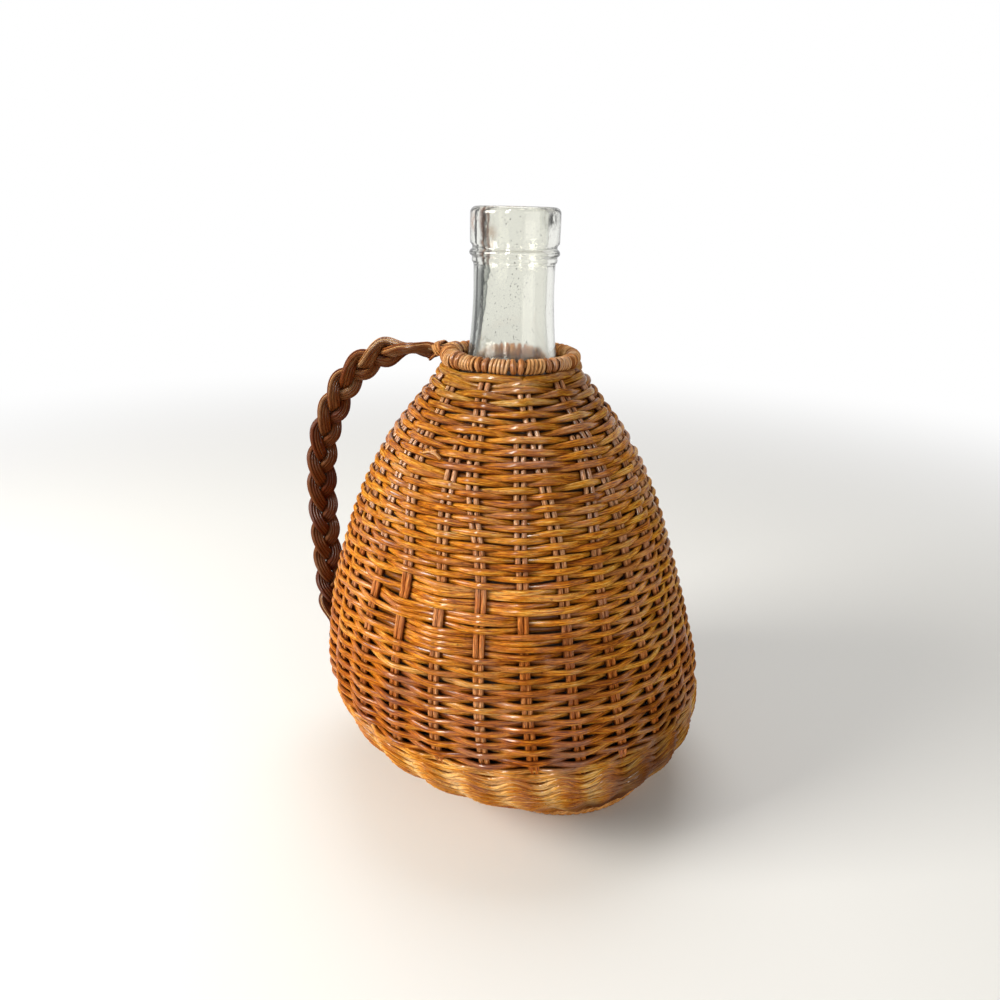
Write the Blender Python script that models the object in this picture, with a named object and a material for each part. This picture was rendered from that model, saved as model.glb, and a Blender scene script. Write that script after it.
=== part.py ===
"""Wicker demijohn: a clear glass bottle in a woven cane casing with a plaited handle.

Metres, +Z up. The origin is on the neck's axis, on the surface that the foot stands on.
The photographed front faces -Y, and the plaited handle is on the -X side.
The casing's stakes are pairs of rods laid side by side, and each pair is one solid here.
The rows of weavers that run over and under them are left out: each band of rows is a
plain shell of the true outer shape. The rim and the handle's start are wound with cane.
"""
import math

import bmesh
import bpy
import numpy as np
from mathutils import Vector

# Glass bottle
BOTTLE_HEIGHT = 0.2723
LIP_RADIUS = 0.0190
LIP_HEIGHT = 0.0157
LIP_ROUNDING = 0.0020
MOUTH_ROUNDING = 0.0012
GROOVE_HEIGHT = 0.0008
GROOVE_DEPTH = 0.0008
BEAD_HEIGHT = 0.0032
STEP_HEIGHT = 0.0030
STEP_DEPTH = 0.0009
NECK_RADIUS = 0.0174
NECK_FOOT_RADIUS = 0.0190
NECK_FOOT_RISE = 0.0080
NECK_WALL = 0.0032
GLASS_WALL = 0.0030
HEEL_RADIUS = 0.0100
HEEL_TURN = math.radians(45.0)
KICK_HEIGHT = 0.0040
KICK_RADIUS = 0.0120
GLASS_SEGMENTS = 36
GLASS_LEVELS = 9
HEEL_STEPS = 2

# Cane
STAKE_DIAMETER = 0.0026
WEAVER_DIAMETER = 0.0027
STICK_DIAMETER = 0.0026
WRAP_DIAMETER = 0.0017

# Gaps between pieces that touch on the real object
SEAT_GAP = 0.0003
WINDING_GAP = 0.0004
STAKE_GAP = 0.0010
GLASS_GAP = 0.0004

# Casing outline: its foot stands off the neck's axis, away from the handle
CASING_HEIGHT = 0.2070
CASING_RADIUS = 0.0912
CASING_LEAN = 0.0300
LEAN_POWER = 5
casing_outline_shares = (
    (0.000, 0.523), (0.030, 0.596), (0.089, 0.735), (0.186, 0.9375), (0.297, 1.000), (0.445, 0.953),
    (0.594, 0.860), (0.743, 0.737), (0.854, 0.598), (0.950, 0.431), (1.000, 0.351),
)

# Foot and base
BORDER_HEIGHT = 0.0060
BORDER_WIDTH = 0.0080
BORDER_ROUNDING = 0.0012
WALE_TOP = 0.0220
WALE_ROWS = 3
WALE_BULGE = 0.0006
SCALLOP = 0.0006
BASE_THICKNESS = 0.0030
STICK_CLEARANCE = 0.0024
STICK_PITCH = 0.0034
STICKS_EACH_WAY = 4

# Woven bands, from the foot up, by the share of the casing's height where each one ends.
# Bundles of rows stand for the single weavers, and each has a flat crest over a stake pair.
band_top_shares = (0.309, 0.599, 0.855, 1.000)
BAND_STEPS = 4
WEAVE_RELIEF = 0.0020
BUNDLE_HEIGHT = 0.0050
crest_share = 0.7

# Stakes: the first pair is the one nearest the front. Towards the neck they draw together
# two pairs by two, every other pair ends below the shoulder, and those at the front spread.
STAKE_PAIRS = 28
FRONT_STAKE_ANGLE = math.radians(-84.0)
STAKE_SPANS = 16
SHORT_STAKE_SHARE = 0.900
stake_draw_shares = ((0.72, 1.00), (0.90, 0.63), (0.97, 0.00))
STAKE_SPREAD = math.radians(11.0)
SPREAD_ANGLE = math.radians(-65.5)
SPREAD_FOOT_SHARE = 0.62
SPREAD_RUN_SHARE = 0.27

# Wrapped rim
RIM_INSET = 0.0049
RIM_CORE_RADIUS = 0.0015
WRAP_TURNS = 23.5
WRAP_POINTS = 8
RIM_SEGMENTS = 42
RIM_SIDES = 6

# Plaited handle: it leaves the rim, arches out and is tucked into the lower band
HANDLE_STAKE = 8
HANDLE_TURN = math.radians(-3.0)
STRANDS = 3
STRAND_RADIUS = 0.0021
STRAND_HEAD_RADIUS = 0.0016
STRAND_FOOT_RADIUS = 0.0012
PLAIT_HALF_WIDTH = 0.0056
PLAIT_HALF_DEPTH = 0.0036
PLAIT_TURNS = 4
PLAIT_TILT = math.radians(45.0)
HEAD_RUN = 0.0125
FOOT_RUN = 0.0170
RAMP_RUN = 0.0080
TILT_RUN = 0.0300
EASE_SHARE = 0.06
STRAND_POINTS = 72
ROUTE_LEVELS = 9
HOOK_POINTS = 4
HANDLE_FOOT_HEIGHT = 0.0460
FOOT_TURN_HEIGHT = 0.0052
SLOT_HEIGHT = 0.0090
SLOT_DROP = 0.0024
SLOT_CLEARANCE = 0.0005
LASHING_TURNS = 3.5
LASHING_POINTS = 12
LASHING_START = 0.0040
handle_route_shares = (
    (0.106, 1.006), (0.198, 1.002), (0.306, 1.004), (0.444, 0.996), (0.598, 0.973), (0.740, 0.937),
    (0.828, 0.899), (0.896, 0.854), (0.960, 0.806), (1.004, 0.740), (1.020, 0.657), (1.015, 0.531),
    (1.006, 0.436), (1.001, 0.370), (1.000, 0.318), (0.974, 0.273),
)

# One overrun for every cut
OVERRUN = 0.0050

# Sizes that follow from those above
BASE_TOP = BASE_THICKNESS + SEAT_GAP
STICK_RISE = STICK_DIAMETER + SEAT_GAP
GLASS_FOOT = BASE_TOP + 2 * STICK_RISE
CASING_WALL = 2 * WEAVER_DIAMETER + STAKE_DIAMETER + GLASS_GAP
STAKE_INSET = WEAVER_DIAMETER + STAKE_GAP + STAKE_DIAMETER / 2
STICK_HALF_LENGTH = casing_outline_shares[0][1] * CASING_RADIUS - BORDER_WIDTH - STICK_CLEARANCE
RIM_RADIUS = casing_outline_shares[-1][1] * CASING_RADIUS - RIM_INSET
WRAP_DISTANCE = RIM_CORE_RADIUS + WINDING_GAP + WRAP_DIAMETER / 2
RIM_HEIGHT = CASING_HEIGHT + SEAT_GAP + WRAP_DISTANCE + WRAP_DIAMETER / 2
HOOK_DISTANCE = RIM_CORE_RADIUS + WINDING_GAP + STRAND_HEAD_RADIUS
HEAD_PITCH = 2 * STRAND_HEAD_RADIUS + WINDING_GAP
FOOT_PITCH = 2 * STRAND_FOOT_RADIUS + WINDING_GAP
STAKE_STEP = 2 * math.pi / STAKE_PAIRS
HANDLE_ANGLE = FRONT_STAKE_ANGLE - HANDLE_STAKE * STAKE_STEP + HANDLE_TURN
CASING_SEGMENTS = 2 * STAKE_PAIRS
OUTWARD = Vector((math.cos(HANDLE_ANGLE), math.sin(HANDLE_ANGLE), 0.0))
SIDEWAYS = Vector((-math.sin(HANDLE_ANGLE), math.cos(HANDLE_ANGLE), 0.0))
UPWARD = Vector((0.0, 0.0, 1.0))


def clear_scene():
    for old in list(bpy.data.objects):
        bpy.data.objects.remove(old, do_unlink=True)


def look(name, color, roughness, transmission=0.0):
    """Make one piece's own material."""
    material = bpy.data.materials.new(name)
    material.use_nodes = True
    shader = material.node_tree.nodes["Principled BSDF"]
    shader.inputs["Base Color"].default_value = (*color, 1.0)
    shader.inputs["Roughness"].default_value = roughness
    shader.inputs["Metallic"].default_value = 0.0
    shader.inputs["Transmission Weight"].default_value = transmission
    material.diffuse_color = (*color, 1.0)
    return material


def smooth_curve(knots, values, place):
    """Read a smooth curve through values at the knots: its value and its slope at one place."""
    tangents = np.gradient(values, knots, axis=0)
    index = int(np.clip(np.searchsorted(knots, place) - 1, 0, len(knots) - 2))
    step = knots[index + 1] - knots[index]
    t = (place - knots[index]) / step
    before, after = values[index], values[index + 1]
    leaving, arriving = tangents[index], tangents[index + 1]
    value = (
        (2 * t**3 - 3 * t**2 + 1) * before + (t**3 - 2 * t**2 + t) * step * leaving
        + (3 * t**2 - 2 * t**3) * after + (t**3 - t**2) * step * arriving
    )
    slope = (
        (6 * t**2 - 6 * t) * (before - after) / step
        + (3 * t**2 - 4 * t + 1) * leaving + (3 * t**2 - 2 * t) * arriving
    )
    return value, slope


def ease(share):
    """Rise smoothly from 0 to 1 as share goes from 0 to 1."""
    share = min(max(share, 0.0), 1.0)
    return share * share * (3 - 2 * share)


def casing_outline(height):
    """Give the casing's radius and its slope at a height."""
    heights = np.array([share[0] for share in casing_outline_shares]) * CASING_HEIGHT
    radii = np.array([share[1] for share in casing_outline_shares]) * CASING_RADIUS
    return smooth_curve(heights, radii, min(height, CASING_HEIGHT))


def lean(height):
    """Give how far the casing's centre stands off the neck's axis, and its slope."""
    left = max(1 - height / CASING_HEIGHT, 0.0)
    slope = -LEAN_POWER * CASING_LEAN / CASING_HEIGHT * left**(LEAN_POWER - 1)
    return CASING_LEAN * left**LEAN_POWER, slope


def inset(height, depth):
    """Give the radius of a surface that lies a depth inside the casing, measured square to it."""
    radius, slope = casing_outline(height)
    return radius - depth * math.hypot(1.0, abs(slope) + abs(lean(height)[1]))


def handle_side(height, depth=0.0):
    """Give how far out the casing's surface is, or a depth inside it, where the handle runs down it."""
    offset = lean(height)[0]
    across = offset * math.sin(HANDLE_ANGLE)
    return offset * math.cos(HANDLE_ANGLE) + math.sqrt(inset(height, depth)**2 - across**2)


def casing_point(angle, radius, height, sideways=0.0):
    """Give the point at an angle and a radius round the casing's centre line."""
    return Vector((
        lean(height)[0] + radius * math.cos(angle) - sideways * math.sin(angle),
        radius * math.sin(angle) + sideways * math.cos(angle),
        height,
    ))


def ring_body(name, rings, material, segments=CASING_SEGMENTS, woven=False, closed=True):
    """Join rings of (radius, height, scallop) into one solid, and close the chain or cap its ends.

    The scallop is how far a ring stands out over each stake pair. In a woven ring it stands in as
    far over every other pair, and two points beside each pair make a flat crest or valley.
    """
    first_angle = FRONT_STAKE_ANGLE + (STAKE_STEP / 4 if woven else 0.0)
    mesh = bmesh.new()
    loops = []
    for radius, height, scallop in rings:
        loop = []
        for index in range(segments):
            angle = first_angle + 2 * math.pi * index / segments
            turn = STAKE_PAIRS * (angle - FRONT_STAKE_ANGLE)
            wave = math.copysign(1.0, math.cos(turn / 2)) if woven else math.cos(turn)
            loop.append(mesh.verts.new(casing_point(angle, radius + scallop * wave, height)))
        loops.append(loop)
    pairs = list(zip(loops, loops[1:]))
    if closed:
        pairs.append((loops[-1], loops[0]))
    else:
        mesh.faces.new(loops[0])
        mesh.faces.new(loops[-1])
    for first, second in pairs:
        join_loops(mesh, first, second)
    bmesh.ops.recalc_face_normals(mesh, faces=mesh.faces)
    return add_mesh(name, mesh, material)


def join_loops(mesh, first, second):
    """Fill the band between two loops of as many points."""
    for index in range(len(first)):
        following = (index + 1) % len(first)
        mesh.faces.new((first[index], first[following], second[following], second[index]))


def add_mesh(name, mesh, material):
    data = bpy.data.meshes.new(name)
    mesh.to_mesh(data)
    mesh.free()
    data.shade_smooth()
    data.set_sharp_from_angle(angle=math.radians(40.0))
    data.materials.append(material)
    piece = bpy.data.objects.new(name, data)
    bpy.context.scene.collection.objects.link(piece)
    return piece


def tube(name, run, material):
    """Make a round tube along a run of (point, radius)."""
    curve = bpy.data.curves.new(name, "CURVE")
    curve.dimensions = "3D"
    curve.fill_mode = "FULL"
    curve.use_fill_caps = True
    curve.bevel_depth = 1.0
    curve.bevel_resolution = 1
    spline = curve.splines.new("POLY")
    spline.points.add(len(run) - 1)
    for target, (place, radius) in zip(spline.points, run):
        target.co = (*place, 1.0)
        target.radius = radius
    curve.materials.append(material)
    piece = bpy.data.objects.new(name, curve)
    bpy.context.scene.collection.objects.link(piece)


def least_gap(places, diameter, nearby):
    """Give a winding's least gap to itself, from its points more than nearby steps apart."""
    points = np.array([tuple(place) for place in places])
    gaps = [
        np.linalg.norm(points[index + nearby:] - points[index], axis=1).min()
        for index in range(len(points) - nearby)
    ]
    return min(gaps) - diameter


def glass_bottle():
    """Turn the bottle: a kicked base, a pear body inside the casing, a neck and a banded lip."""
    heel_top = GLASS_FOOT + HEEL_RADIUS * (1 - math.cos(HEEL_TURN))
    foot_radius = inset(heel_top, CASING_WALL) - HEEL_RADIUS * math.sin(HEEL_TURN)
    neck_foot = CASING_HEIGHT + NECK_FOOT_RISE
    lip_foot = BOTTLE_HEIGHT - LIP_HEIGHT
    bead_top = lip_foot - GROOVE_HEIGHT
    bead_foot = bead_top - BEAD_HEIGHT
    step_foot = bead_foot - STEP_HEIGHT
    bore = NECK_RADIUS - NECK_WALL
    outside = [(KICK_RADIUS, GLASS_FOOT + KICK_HEIGHT), (foot_radius, GLASS_FOOT)]
    for step in range(1, HEEL_STEPS + 1):
        turn = HEEL_TURN * step / HEEL_STEPS
        reach = foot_radius + HEEL_RADIUS * math.sin(turn)
        outside.append((reach, GLASS_FOOT + HEEL_RADIUS * (1 - math.cos(turn))))
    inside = [(KICK_RADIUS, GLASS_FOOT + KICK_HEIGHT + GLASS_WALL), (foot_radius, GLASS_FOOT + GLASS_WALL)]
    for height in np.linspace(heel_top, CASING_HEIGHT, GLASS_LEVELS)[1:]:
        outside.append((inset(height, CASING_WALL), height))
        if inset(height, CASING_WALL + GLASS_WALL) > bore:
            inside.append((inset(height, CASING_WALL + GLASS_WALL), height))
    outside += [
        (NECK_FOOT_RADIUS, neck_foot),
        ((NECK_RADIUS + NECK_FOOT_RADIUS) / 2, neck_foot + NECK_FOOT_RISE),
        (NECK_RADIUS, (neck_foot + step_foot) / 2),
        (NECK_RADIUS, step_foot),
        (LIP_RADIUS - STEP_DEPTH, bead_foot - STEP_HEIGHT / 2),
        (LIP_RADIUS, bead_foot),
        (LIP_RADIUS, bead_top),
        (LIP_RADIUS - GROOVE_DEPTH, (bead_top + lip_foot) / 2),
        (LIP_RADIUS, lip_foot),
        (LIP_RADIUS, BOTTLE_HEIGHT - LIP_ROUNDING),
        (LIP_RADIUS - LIP_ROUNDING, BOTTLE_HEIGHT),
    ]
    inside += [
        (bore, neck_foot),
        (bore, BOTTLE_HEIGHT - MOUTH_ROUNDING),
        (bore + MOUTH_ROUNDING, BOTTLE_HEIGHT),
    ]
    chain = outside + inside[::-1]
    rings = [(radius, height, 0.0) for radius, height in chain]
    glass = look("clear_glass", (0.83, 0.87, 0.84), 0.05, transmission=0.8)
    ring_body("glass_bottle", rings, glass, segments=GLASS_SEGMENTS, closed=False)


def base():
    """Weave the base: a flat disc, with a cross of sticks on it that the bottle stands on."""
    radius = casing_outline(0.0)[0] - BORDER_WIDTH - SEAT_GAP
    disc = look("base_cane", (0.50, 0.30, 0.13), 0.6)
    ring_body("base_weave", [(radius, 0.0, 0.0), (radius, BASE_THICKNESS, 0.0)], disc, closed=False)
    stick = look("base_stick_cane", (0.46, 0.28, 0.12), 0.6)
    for layer, along in enumerate((Vector((1.0, 0.0, 0.0)), Vector((0.0, 1.0, 0.0)))):
        height = BASE_TOP + layer * STICK_RISE + STICK_DIAMETER / 2
        beside = along.cross(UPWARD)
        middle = casing_point(0.0, 0.0, height)
        for index in range(STICKS_EACH_WAY):
            centre = middle + beside * STICK_PITCH * (index - (STICKS_EACH_WAY - 1) / 2)
            ends = (centre - along * STICK_HALF_LENGTH, centre + along * STICK_HALF_LENGTH)
            name = "base_stick_%d" % (layer * STICKS_EACH_WAY + index + 1)
            tube(name, [(end, STICK_DIAMETER / 2) for end in ends], stick.copy())


def foot():
    """Weave the foot: the rolled border that the casing stands on, and the scalloped waling above it."""
    low = casing_outline(0.0)[0]
    top = casing_outline(BORDER_HEIGHT)[0]
    border = [
        (low - BORDER_ROUNDING, 0.0, 0.0),
        ((low + top) / 2 + BORDER_ROUNDING / 2, BORDER_HEIGHT / 2, SCALLOP),
        (top, BORDER_HEIGHT, SCALLOP),
        (top - BORDER_WIDTH, BORDER_HEIGHT, 0.0),
        (low - BORDER_WIDTH, 0.0, 0.0),
    ]
    ring_body("foot_border", border, look("border_cane", (0.62, 0.40, 0.18), 0.5))
    start = BORDER_HEIGHT + SEAT_GAP
    row = (WALE_TOP - start) / WALE_ROWS
    outside = [(casing_outline(start)[0] - WALE_BULGE, start, SCALLOP)]
    for index in range(WALE_ROWS):
        crest = start + row * (index + 1 / 2)
        valley = start + row * (index + 1)
        outside.append((casing_outline(crest)[0], crest, SCALLOP))
        outside.append((casing_outline(valley)[0] - WALE_BULGE, valley, SCALLOP))
    inside = [(inset(height, WEAVER_DIAMETER), height, 0.0) for height in (WALE_TOP, start)]
    ring_body("foot_wale", outside + inside, look("wale_cane", (0.60, 0.36, 0.15), 0.5))


def relief_ring(height, side=1):
    """Give a ring whose crests reach the casing's surface. Side is 1, or -1 for the other crests."""
    middle = inset(height, WEAVE_RELIEF / 2)
    return middle, height, side * (casing_outline(height)[0] - middle)


def bundle_rings(low, high, first):
    """Give the rings of the bundles of rows, which pass over every other stake pair by turns."""
    count = round((high - low) / BUNDLE_HEIGHT)
    step = (high - low) / count
    rings = []
    for index in range(count):
        middle = low + step * (index + 1 / 2)
        side = 1 if (first + index) % 2 else -1
        start = middle - crest_share * step / 2 if index else low
        end = middle + crest_share * step / 2 if index < count - 1 else high
        rings += [relief_ring(start, side), relief_ring(end, side)]
    return rings, first + count


def woven_bands():
    """Make the casing's wall: one shell for each band of weaving, open in the middle.

    The lowest one is pushed out over each stake pair, as the waling under it is.
    """
    bands = (
        ("lower_weave", (0.47, 0.19, 0.05)),
        ("middle_weave", (0.62, 0.29, 0.07)),
        ("upper_weave", (0.58, 0.28, 0.08)),
        ("shoulder_weave", (0.52, 0.27, 0.09)),
    )
    ends = [WALE_TOP] + [share * CASING_HEIGHT for share in band_top_shares]
    bundles = 0
    for (name, color), low, high in zip(bands, ends, ends[1:]):
        start = low + SEAT_GAP
        heights = np.linspace(start, high, BAND_STEPS + 1)
        woven = name != "lower_weave"
        if woven:
            outside, bundles = bundle_rings(start, high, bundles)
        else:
            outside = [relief_ring(height) for height in heights]
        inside = [(inset(height, WEAVER_DIAMETER), height, 0.0) for height in heights[::-1]]
        shell = ring_body(name, outside + inside, look(name + "_cane", color, 0.45), woven=woven)
        if not woven:
            cut_handle_slot(shell)


def cut_handle_slot(shell):
    """Part the lower band where the three ends of the handle are tucked in."""
    width = 2 * (FOOT_PITCH + STRAND_FOOT_RADIUS + SLOT_CLEARANCE)
    low = HANDLE_FOOT_HEIGHT - SLOT_DROP
    middle = low + SLOT_HEIGHT / 2
    depth = 2 * (WEAVER_DIAMETER + OVERRUN)
    block = bmesh.new()
    bmesh.ops.create_cube(block, size=1.0)
    cutter = add_mesh("handle_slot_cutter", block, look("cutter", (0.5, 0.5, 0.5), 0.5))
    cutter.scale = (depth, width, SLOT_HEIGHT)
    cutter.rotation_euler = (0.0, 0.0, HANDLE_ANGLE)
    cutter.location = OUTWARD * handle_side(middle) + UPWARD * middle
    cutter.hide_render = True
    cutter.display_type = "WIRE"
    cut = shell.modifiers.new("handle_slot", "BOOLEAN")
    cut.operation = "DIFFERENCE"
    cut.solver = "EXACT"
    cut.object = cutter


def stake_angle(pair, height):
    """Give the angle that a stake pair stands at, which changes towards the neck."""
    share = height / CASING_HEIGHT
    side = STAKE_STEP / 2 if pair % 2 else -STAKE_STEP / 2
    middle = FRONT_STAKE_ANGLE - pair * STAKE_STEP - side
    spread = STAKE_SPREAD * ease((share - SPREAD_FOOT_SHARE) / SPREAD_RUN_SHARE)
    middle += spread * math.sin(middle - SPREAD_ANGLE)
    return middle + side * float(np.interp(share, *zip(*stake_draw_shares)))


def stakes():
    """Stand the uprights between the glass and the shells: two rods side by side to a pair."""
    foot_height = BORDER_HEIGHT + SEAT_GAP + STAKE_DIAMETER / 2
    half = STAKE_DIAMETER / 2
    section = (
        (-STAKE_DIAMETER, 0.0), (-half, half), (half, half),
        (STAKE_DIAMETER, 0.0), (half, -half), (-half, -half),
    )
    for pair in range(STAKE_PAIRS):
        top = CASING_HEIGHT - SEAT_GAP if pair % 2 else SHORT_STAKE_SHARE * CASING_HEIGHT
        heights = np.linspace(foot_height, top, STAKE_SPANS + 1)
        angles = [stake_angle(pair, height) for height in heights]
        places = [
            casing_point(angle, inset(height, STAKE_INSET), height)
            for angle, height in zip(angles, heights)
        ]
        mesh = bmesh.new()
        loops = []
        for index, (angle, place) in enumerate(zip(angles, places)):
            beside = Vector((-math.sin(angle), math.cos(angle), 0.0))
            along = places[min(index + 1, STAKE_SPANS)] - places[max(index - 1, 0)]
            inward = along.cross(beside).normalized()
            corners = [place + beside * across + inward * deep for across, deep in section]
            loops.append([mesh.verts.new(corner) for corner in corners])
        mesh.faces.new(loops[0])
        mesh.faces.new(loops[-1])
        for first, second in zip(loops, loops[1:]):
            join_loops(mesh, first, second)
        bmesh.ops.recalc_face_normals(mesh, faces=mesh.faces)
        name = "stake_pair_%02d" % (pair + 1)
        add_mesh(name, mesh, look(name + "_cane", (0.50, 0.29, 0.12), 0.5))


def rim_point(angle, distance, turn):
    """Give the point at a distance from the rim's core, turned round it from its outer side."""
    radius = RIM_RADIUS + distance * math.cos(turn)
    height = RIM_HEIGHT + distance * math.sin(turn)
    return Vector((radius * math.cos(angle), radius * math.sin(angle), height))


def rim():
    """Make the rim: a core ring, and the cane wound round it from one side of the handle to the other."""
    mesh = bmesh.new()
    loops = []
    for index in range(RIM_SEGMENTS):
        angle = HANDLE_ANGLE + 2 * math.pi * index / RIM_SEGMENTS
        turns = [2 * math.pi * side / RIM_SIDES for side in range(RIM_SIDES)]
        loops.append([mesh.verts.new(rim_point(angle, RIM_CORE_RADIUS, turn)) for turn in turns])
    for first, second in zip(loops, loops[1:] + loops[:1]):
        join_loops(mesh, first, second)
    bmesh.ops.recalc_face_normals(mesh, faces=mesh.faces)
    add_mesh("rim_core", mesh, look("rim_core_cane", (0.45, 0.27, 0.12), 0.6))

    free = math.asin((HEAD_PITCH + STRAND_HEAD_RADIUS + 2 * WRAP_DIAMETER) / RIM_RADIUS)
    sweep = 2 * math.pi - 2 * free
    count = round(WRAP_TURNS * WRAP_POINTS)
    places = []
    for index in range(count + 1):
        share = index / count
        angle = HANDLE_ANGLE + free + sweep * share
        places.append(rim_point(angle, WRAP_DISTANCE, 2 * math.pi * WRAP_TURNS * share))
    drop = places[0].z - CASING_HEIGHT - SEAT_GAP
    places.insert(0, places[0] - UPWARD * drop)
    places.append(places[-1] - UPWARD * WRAP_DIAMETER)
    gap = least_gap(places, WRAP_DIAMETER, WRAP_POINTS // 2)
    print("rim_wrap least gap to itself, mm: %.2f" % (1000 * gap))
    wrap = look("rim_wrap_cane", (0.56, 0.36, 0.18), 0.45)
    tube("rim_wrap", [(place, WRAP_DIAMETER / 2) for place in places], wrap)


def handle_route():
    """Give the middle line of the handle as points (outward, up): out of the rim and down to its slot."""
    heights = np.linspace(HANDLE_FOOT_HEIGHT, band_top_shares[1] * CASING_HEIGHT, ROUTE_LEVELS)
    widest = max(handle_side(height) for height in heights)
    reach = widest + PLAIT_HALF_DEPTH + STRAND_RADIUS + SEAT_GAP
    route = [(RIM_RADIUS, RIM_HEIGHT + HOOK_DISTANCE)]
    for out_share, up_share in handle_route_shares:
        route.append((RIM_RADIUS + out_share * (reach - RIM_RADIUS), up_share * RIM_HEIGHT))
    foot_end = (handle_side(HANDLE_FOOT_HEIGHT, WEAVER_DIAMETER / 2), HANDLE_FOOT_HEIGHT)
    last = route[-1]
    turn = ((last[0] + foot_end[0]) / 2, HANDLE_FOOT_HEIGHT + FOOT_TURN_HEIGHT)
    return np.array(route + [turn, foot_end])


def follow_route():
    """Give a function that reads the handle's middle line by distance along it, and its length."""
    route = handle_route()
    knots = np.concatenate([[0.0], np.cumsum(np.linalg.norm(np.diff(route, axis=0), axis=1))])
    return lambda distance: smooth_curve(knots, route, distance), knots[-1]


def strand(index, read, length):
    """Give one strand of the plait as (point, radius), from its hook over the rim to its tucked end."""
    offset = 2 * math.pi * index / STRANDS
    side = (0, 1, -1)[index]
    hook_out = math.sqrt(RIM_RADIUS**2 - (side * HEAD_PITCH)**2) - RIM_RADIUS
    run = []
    for step in range(HOOK_POINTS):
        turn = math.pi - math.pi / 2 * step / HOOK_POINTS
        out = RIM_RADIUS + hook_out + HOOK_DISTANCE * math.cos(turn)
        up = RIM_HEIGHT + HOOK_DISTANCE * math.sin(turn)
        run.append((OUTWARD * out + UPWARD * up + SIDEWAYS * side * HEAD_PITCH, STRAND_HEAD_RADIUS))
    plait_length = length - HEAD_RUN - FOOT_RUN - 2 * RAMP_RUN
    for distance in np.linspace(0.0, length, STRAND_POINTS):
        (out, up), slope = read(distance)
        along_out, along_up = slope / np.linalg.norm(slope)
        left = length - distance
        head = ease((distance - HEAD_RUN) / RAMP_RUN)
        plaited = head * ease((left - FOOT_RUN) / RAMP_RUN)
        tilt_in = ease((distance - HEAD_RUN) / TILT_RUN)
        tilt = PLAIT_TILT * tilt_in * ease((left - FOOT_RUN - RAMP_RUN) / TILT_RUN)
        turned = steady((distance - HEAD_RUN - RAMP_RUN) / plait_length)
        phase = 2 * math.pi * PLAIT_TURNS * turned + offset
        radius = STRAND_HEAD_RADIUS + (STRAND_RADIUS - STRAND_HEAD_RADIUS) * head
        radius -= (STRAND_RADIUS - STRAND_FOOT_RADIUS) * (1 - ease(left / (FOOT_RUN + RAMP_RUN)))
        beside = side * (2 * radius + WINDING_GAP)
        across = plaited * PLAIT_HALF_WIDTH * math.sin(phase) + (1 - plaited) * beside
        outside = plaited * PLAIT_HALF_DEPTH * math.sin(2 * phase)
        sideways = across * math.cos(tilt) - outside * math.sin(tilt)
        away = across * math.sin(tilt) + outside * math.cos(tilt)
        correction = hook_out * (1 - head)
        place = OUTWARD * (out + correction - away * along_up) + UPWARD * (up + away * along_out)
        run.append((place + SIDEWAYS * sideways, radius))
    return run


def steady(share):
    """Run from 0 to 1 at a steady rate, with a soft start and stop."""
    share = min(max(share, 0.0), 1.0)
    if share < EASE_SHARE:
        return share**2 / (2 * EASE_SHARE * (1 - EASE_SHARE))
    if share > 1 - EASE_SHARE:
        return 1 - steady(1 - share)
    return (share - EASE_SHARE / 2) / (1 - EASE_SHARE)


def handle():
    """Plait the handle from three strands, and lash them together beside the rim."""
    read, length = follow_route()
    for index in range(STRANDS):
        name = "handle_strand_%d" % (index + 1)
        tube(name, strand(index, read, length), look(name + "_cane", (0.27, 0.12, 0.05), 0.45))

    half_height = STRAND_HEAD_RADIUS + WINDING_GAP + WRAP_DIAMETER / 2
    pitch = WRAP_DIAMETER + WINDING_GAP + SEAT_GAP
    count = round(LASHING_TURNS * LASHING_POINTS)
    places = []
    for step in range(count + 1):
        turn = 2 * math.pi * step / LASHING_POINTS
        (out, up), slope = read(LASHING_START + pitch * step / LASHING_POINTS)
        along_out, along_up = slope / np.linalg.norm(slope)
        level = step % (LASHING_POINTS // 2) == LASHING_POINTS // 4
        corner = 0 if level else math.copysign(1, math.cos(turn))
        across = corner * HEAD_PITCH + half_height * math.cos(turn)
        away = half_height * math.sin(turn)
        place = OUTWARD * (out - away * along_up) + UPWARD * (up + away * along_out)
        places.append(place + SIDEWAYS * across)
    first_drop = places[0].z - CASING_HEIGHT - SEAT_GAP
    places.insert(0, places[0] - UPWARD * first_drop)
    places.append(places[-1] - UPWARD * WRAP_DIAMETER)
    gap = least_gap(places, WRAP_DIAMETER, LASHING_POINTS // 2)
    print("handle_lashing least gap to itself, mm: %.2f" % (1000 * gap))
    lashing = look("lashing_cane", (0.58, 0.38, 0.19), 0.45)
    tube("handle_lashing", [(place, WRAP_DIAMETER / 2) for place in places], lashing)


def main():
    clear_scene()
    glass_bottle()
    base()
    foot()
    woven_bands()
    stakes()
    rim()
    handle()


main()
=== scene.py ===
"""Looks of the wicker demijohn: woven cane casing, wrapped rim, plaited handle and glass bottle.

Metres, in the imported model's frame: +Z up, the photographed front faces -Y, the origin is on
the neck's axis, on the surface that the foot stands on. Each rod of cane is swept along a path
of its own. The outline, the stakes, the rows' pitch, the handle's route and the glass follow the
CAD source. The rods, the wraps and the plait are finer than its solids.
"""
import math

import bpy
import numpy as np
from mathutils import Matrix, Vector


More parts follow.
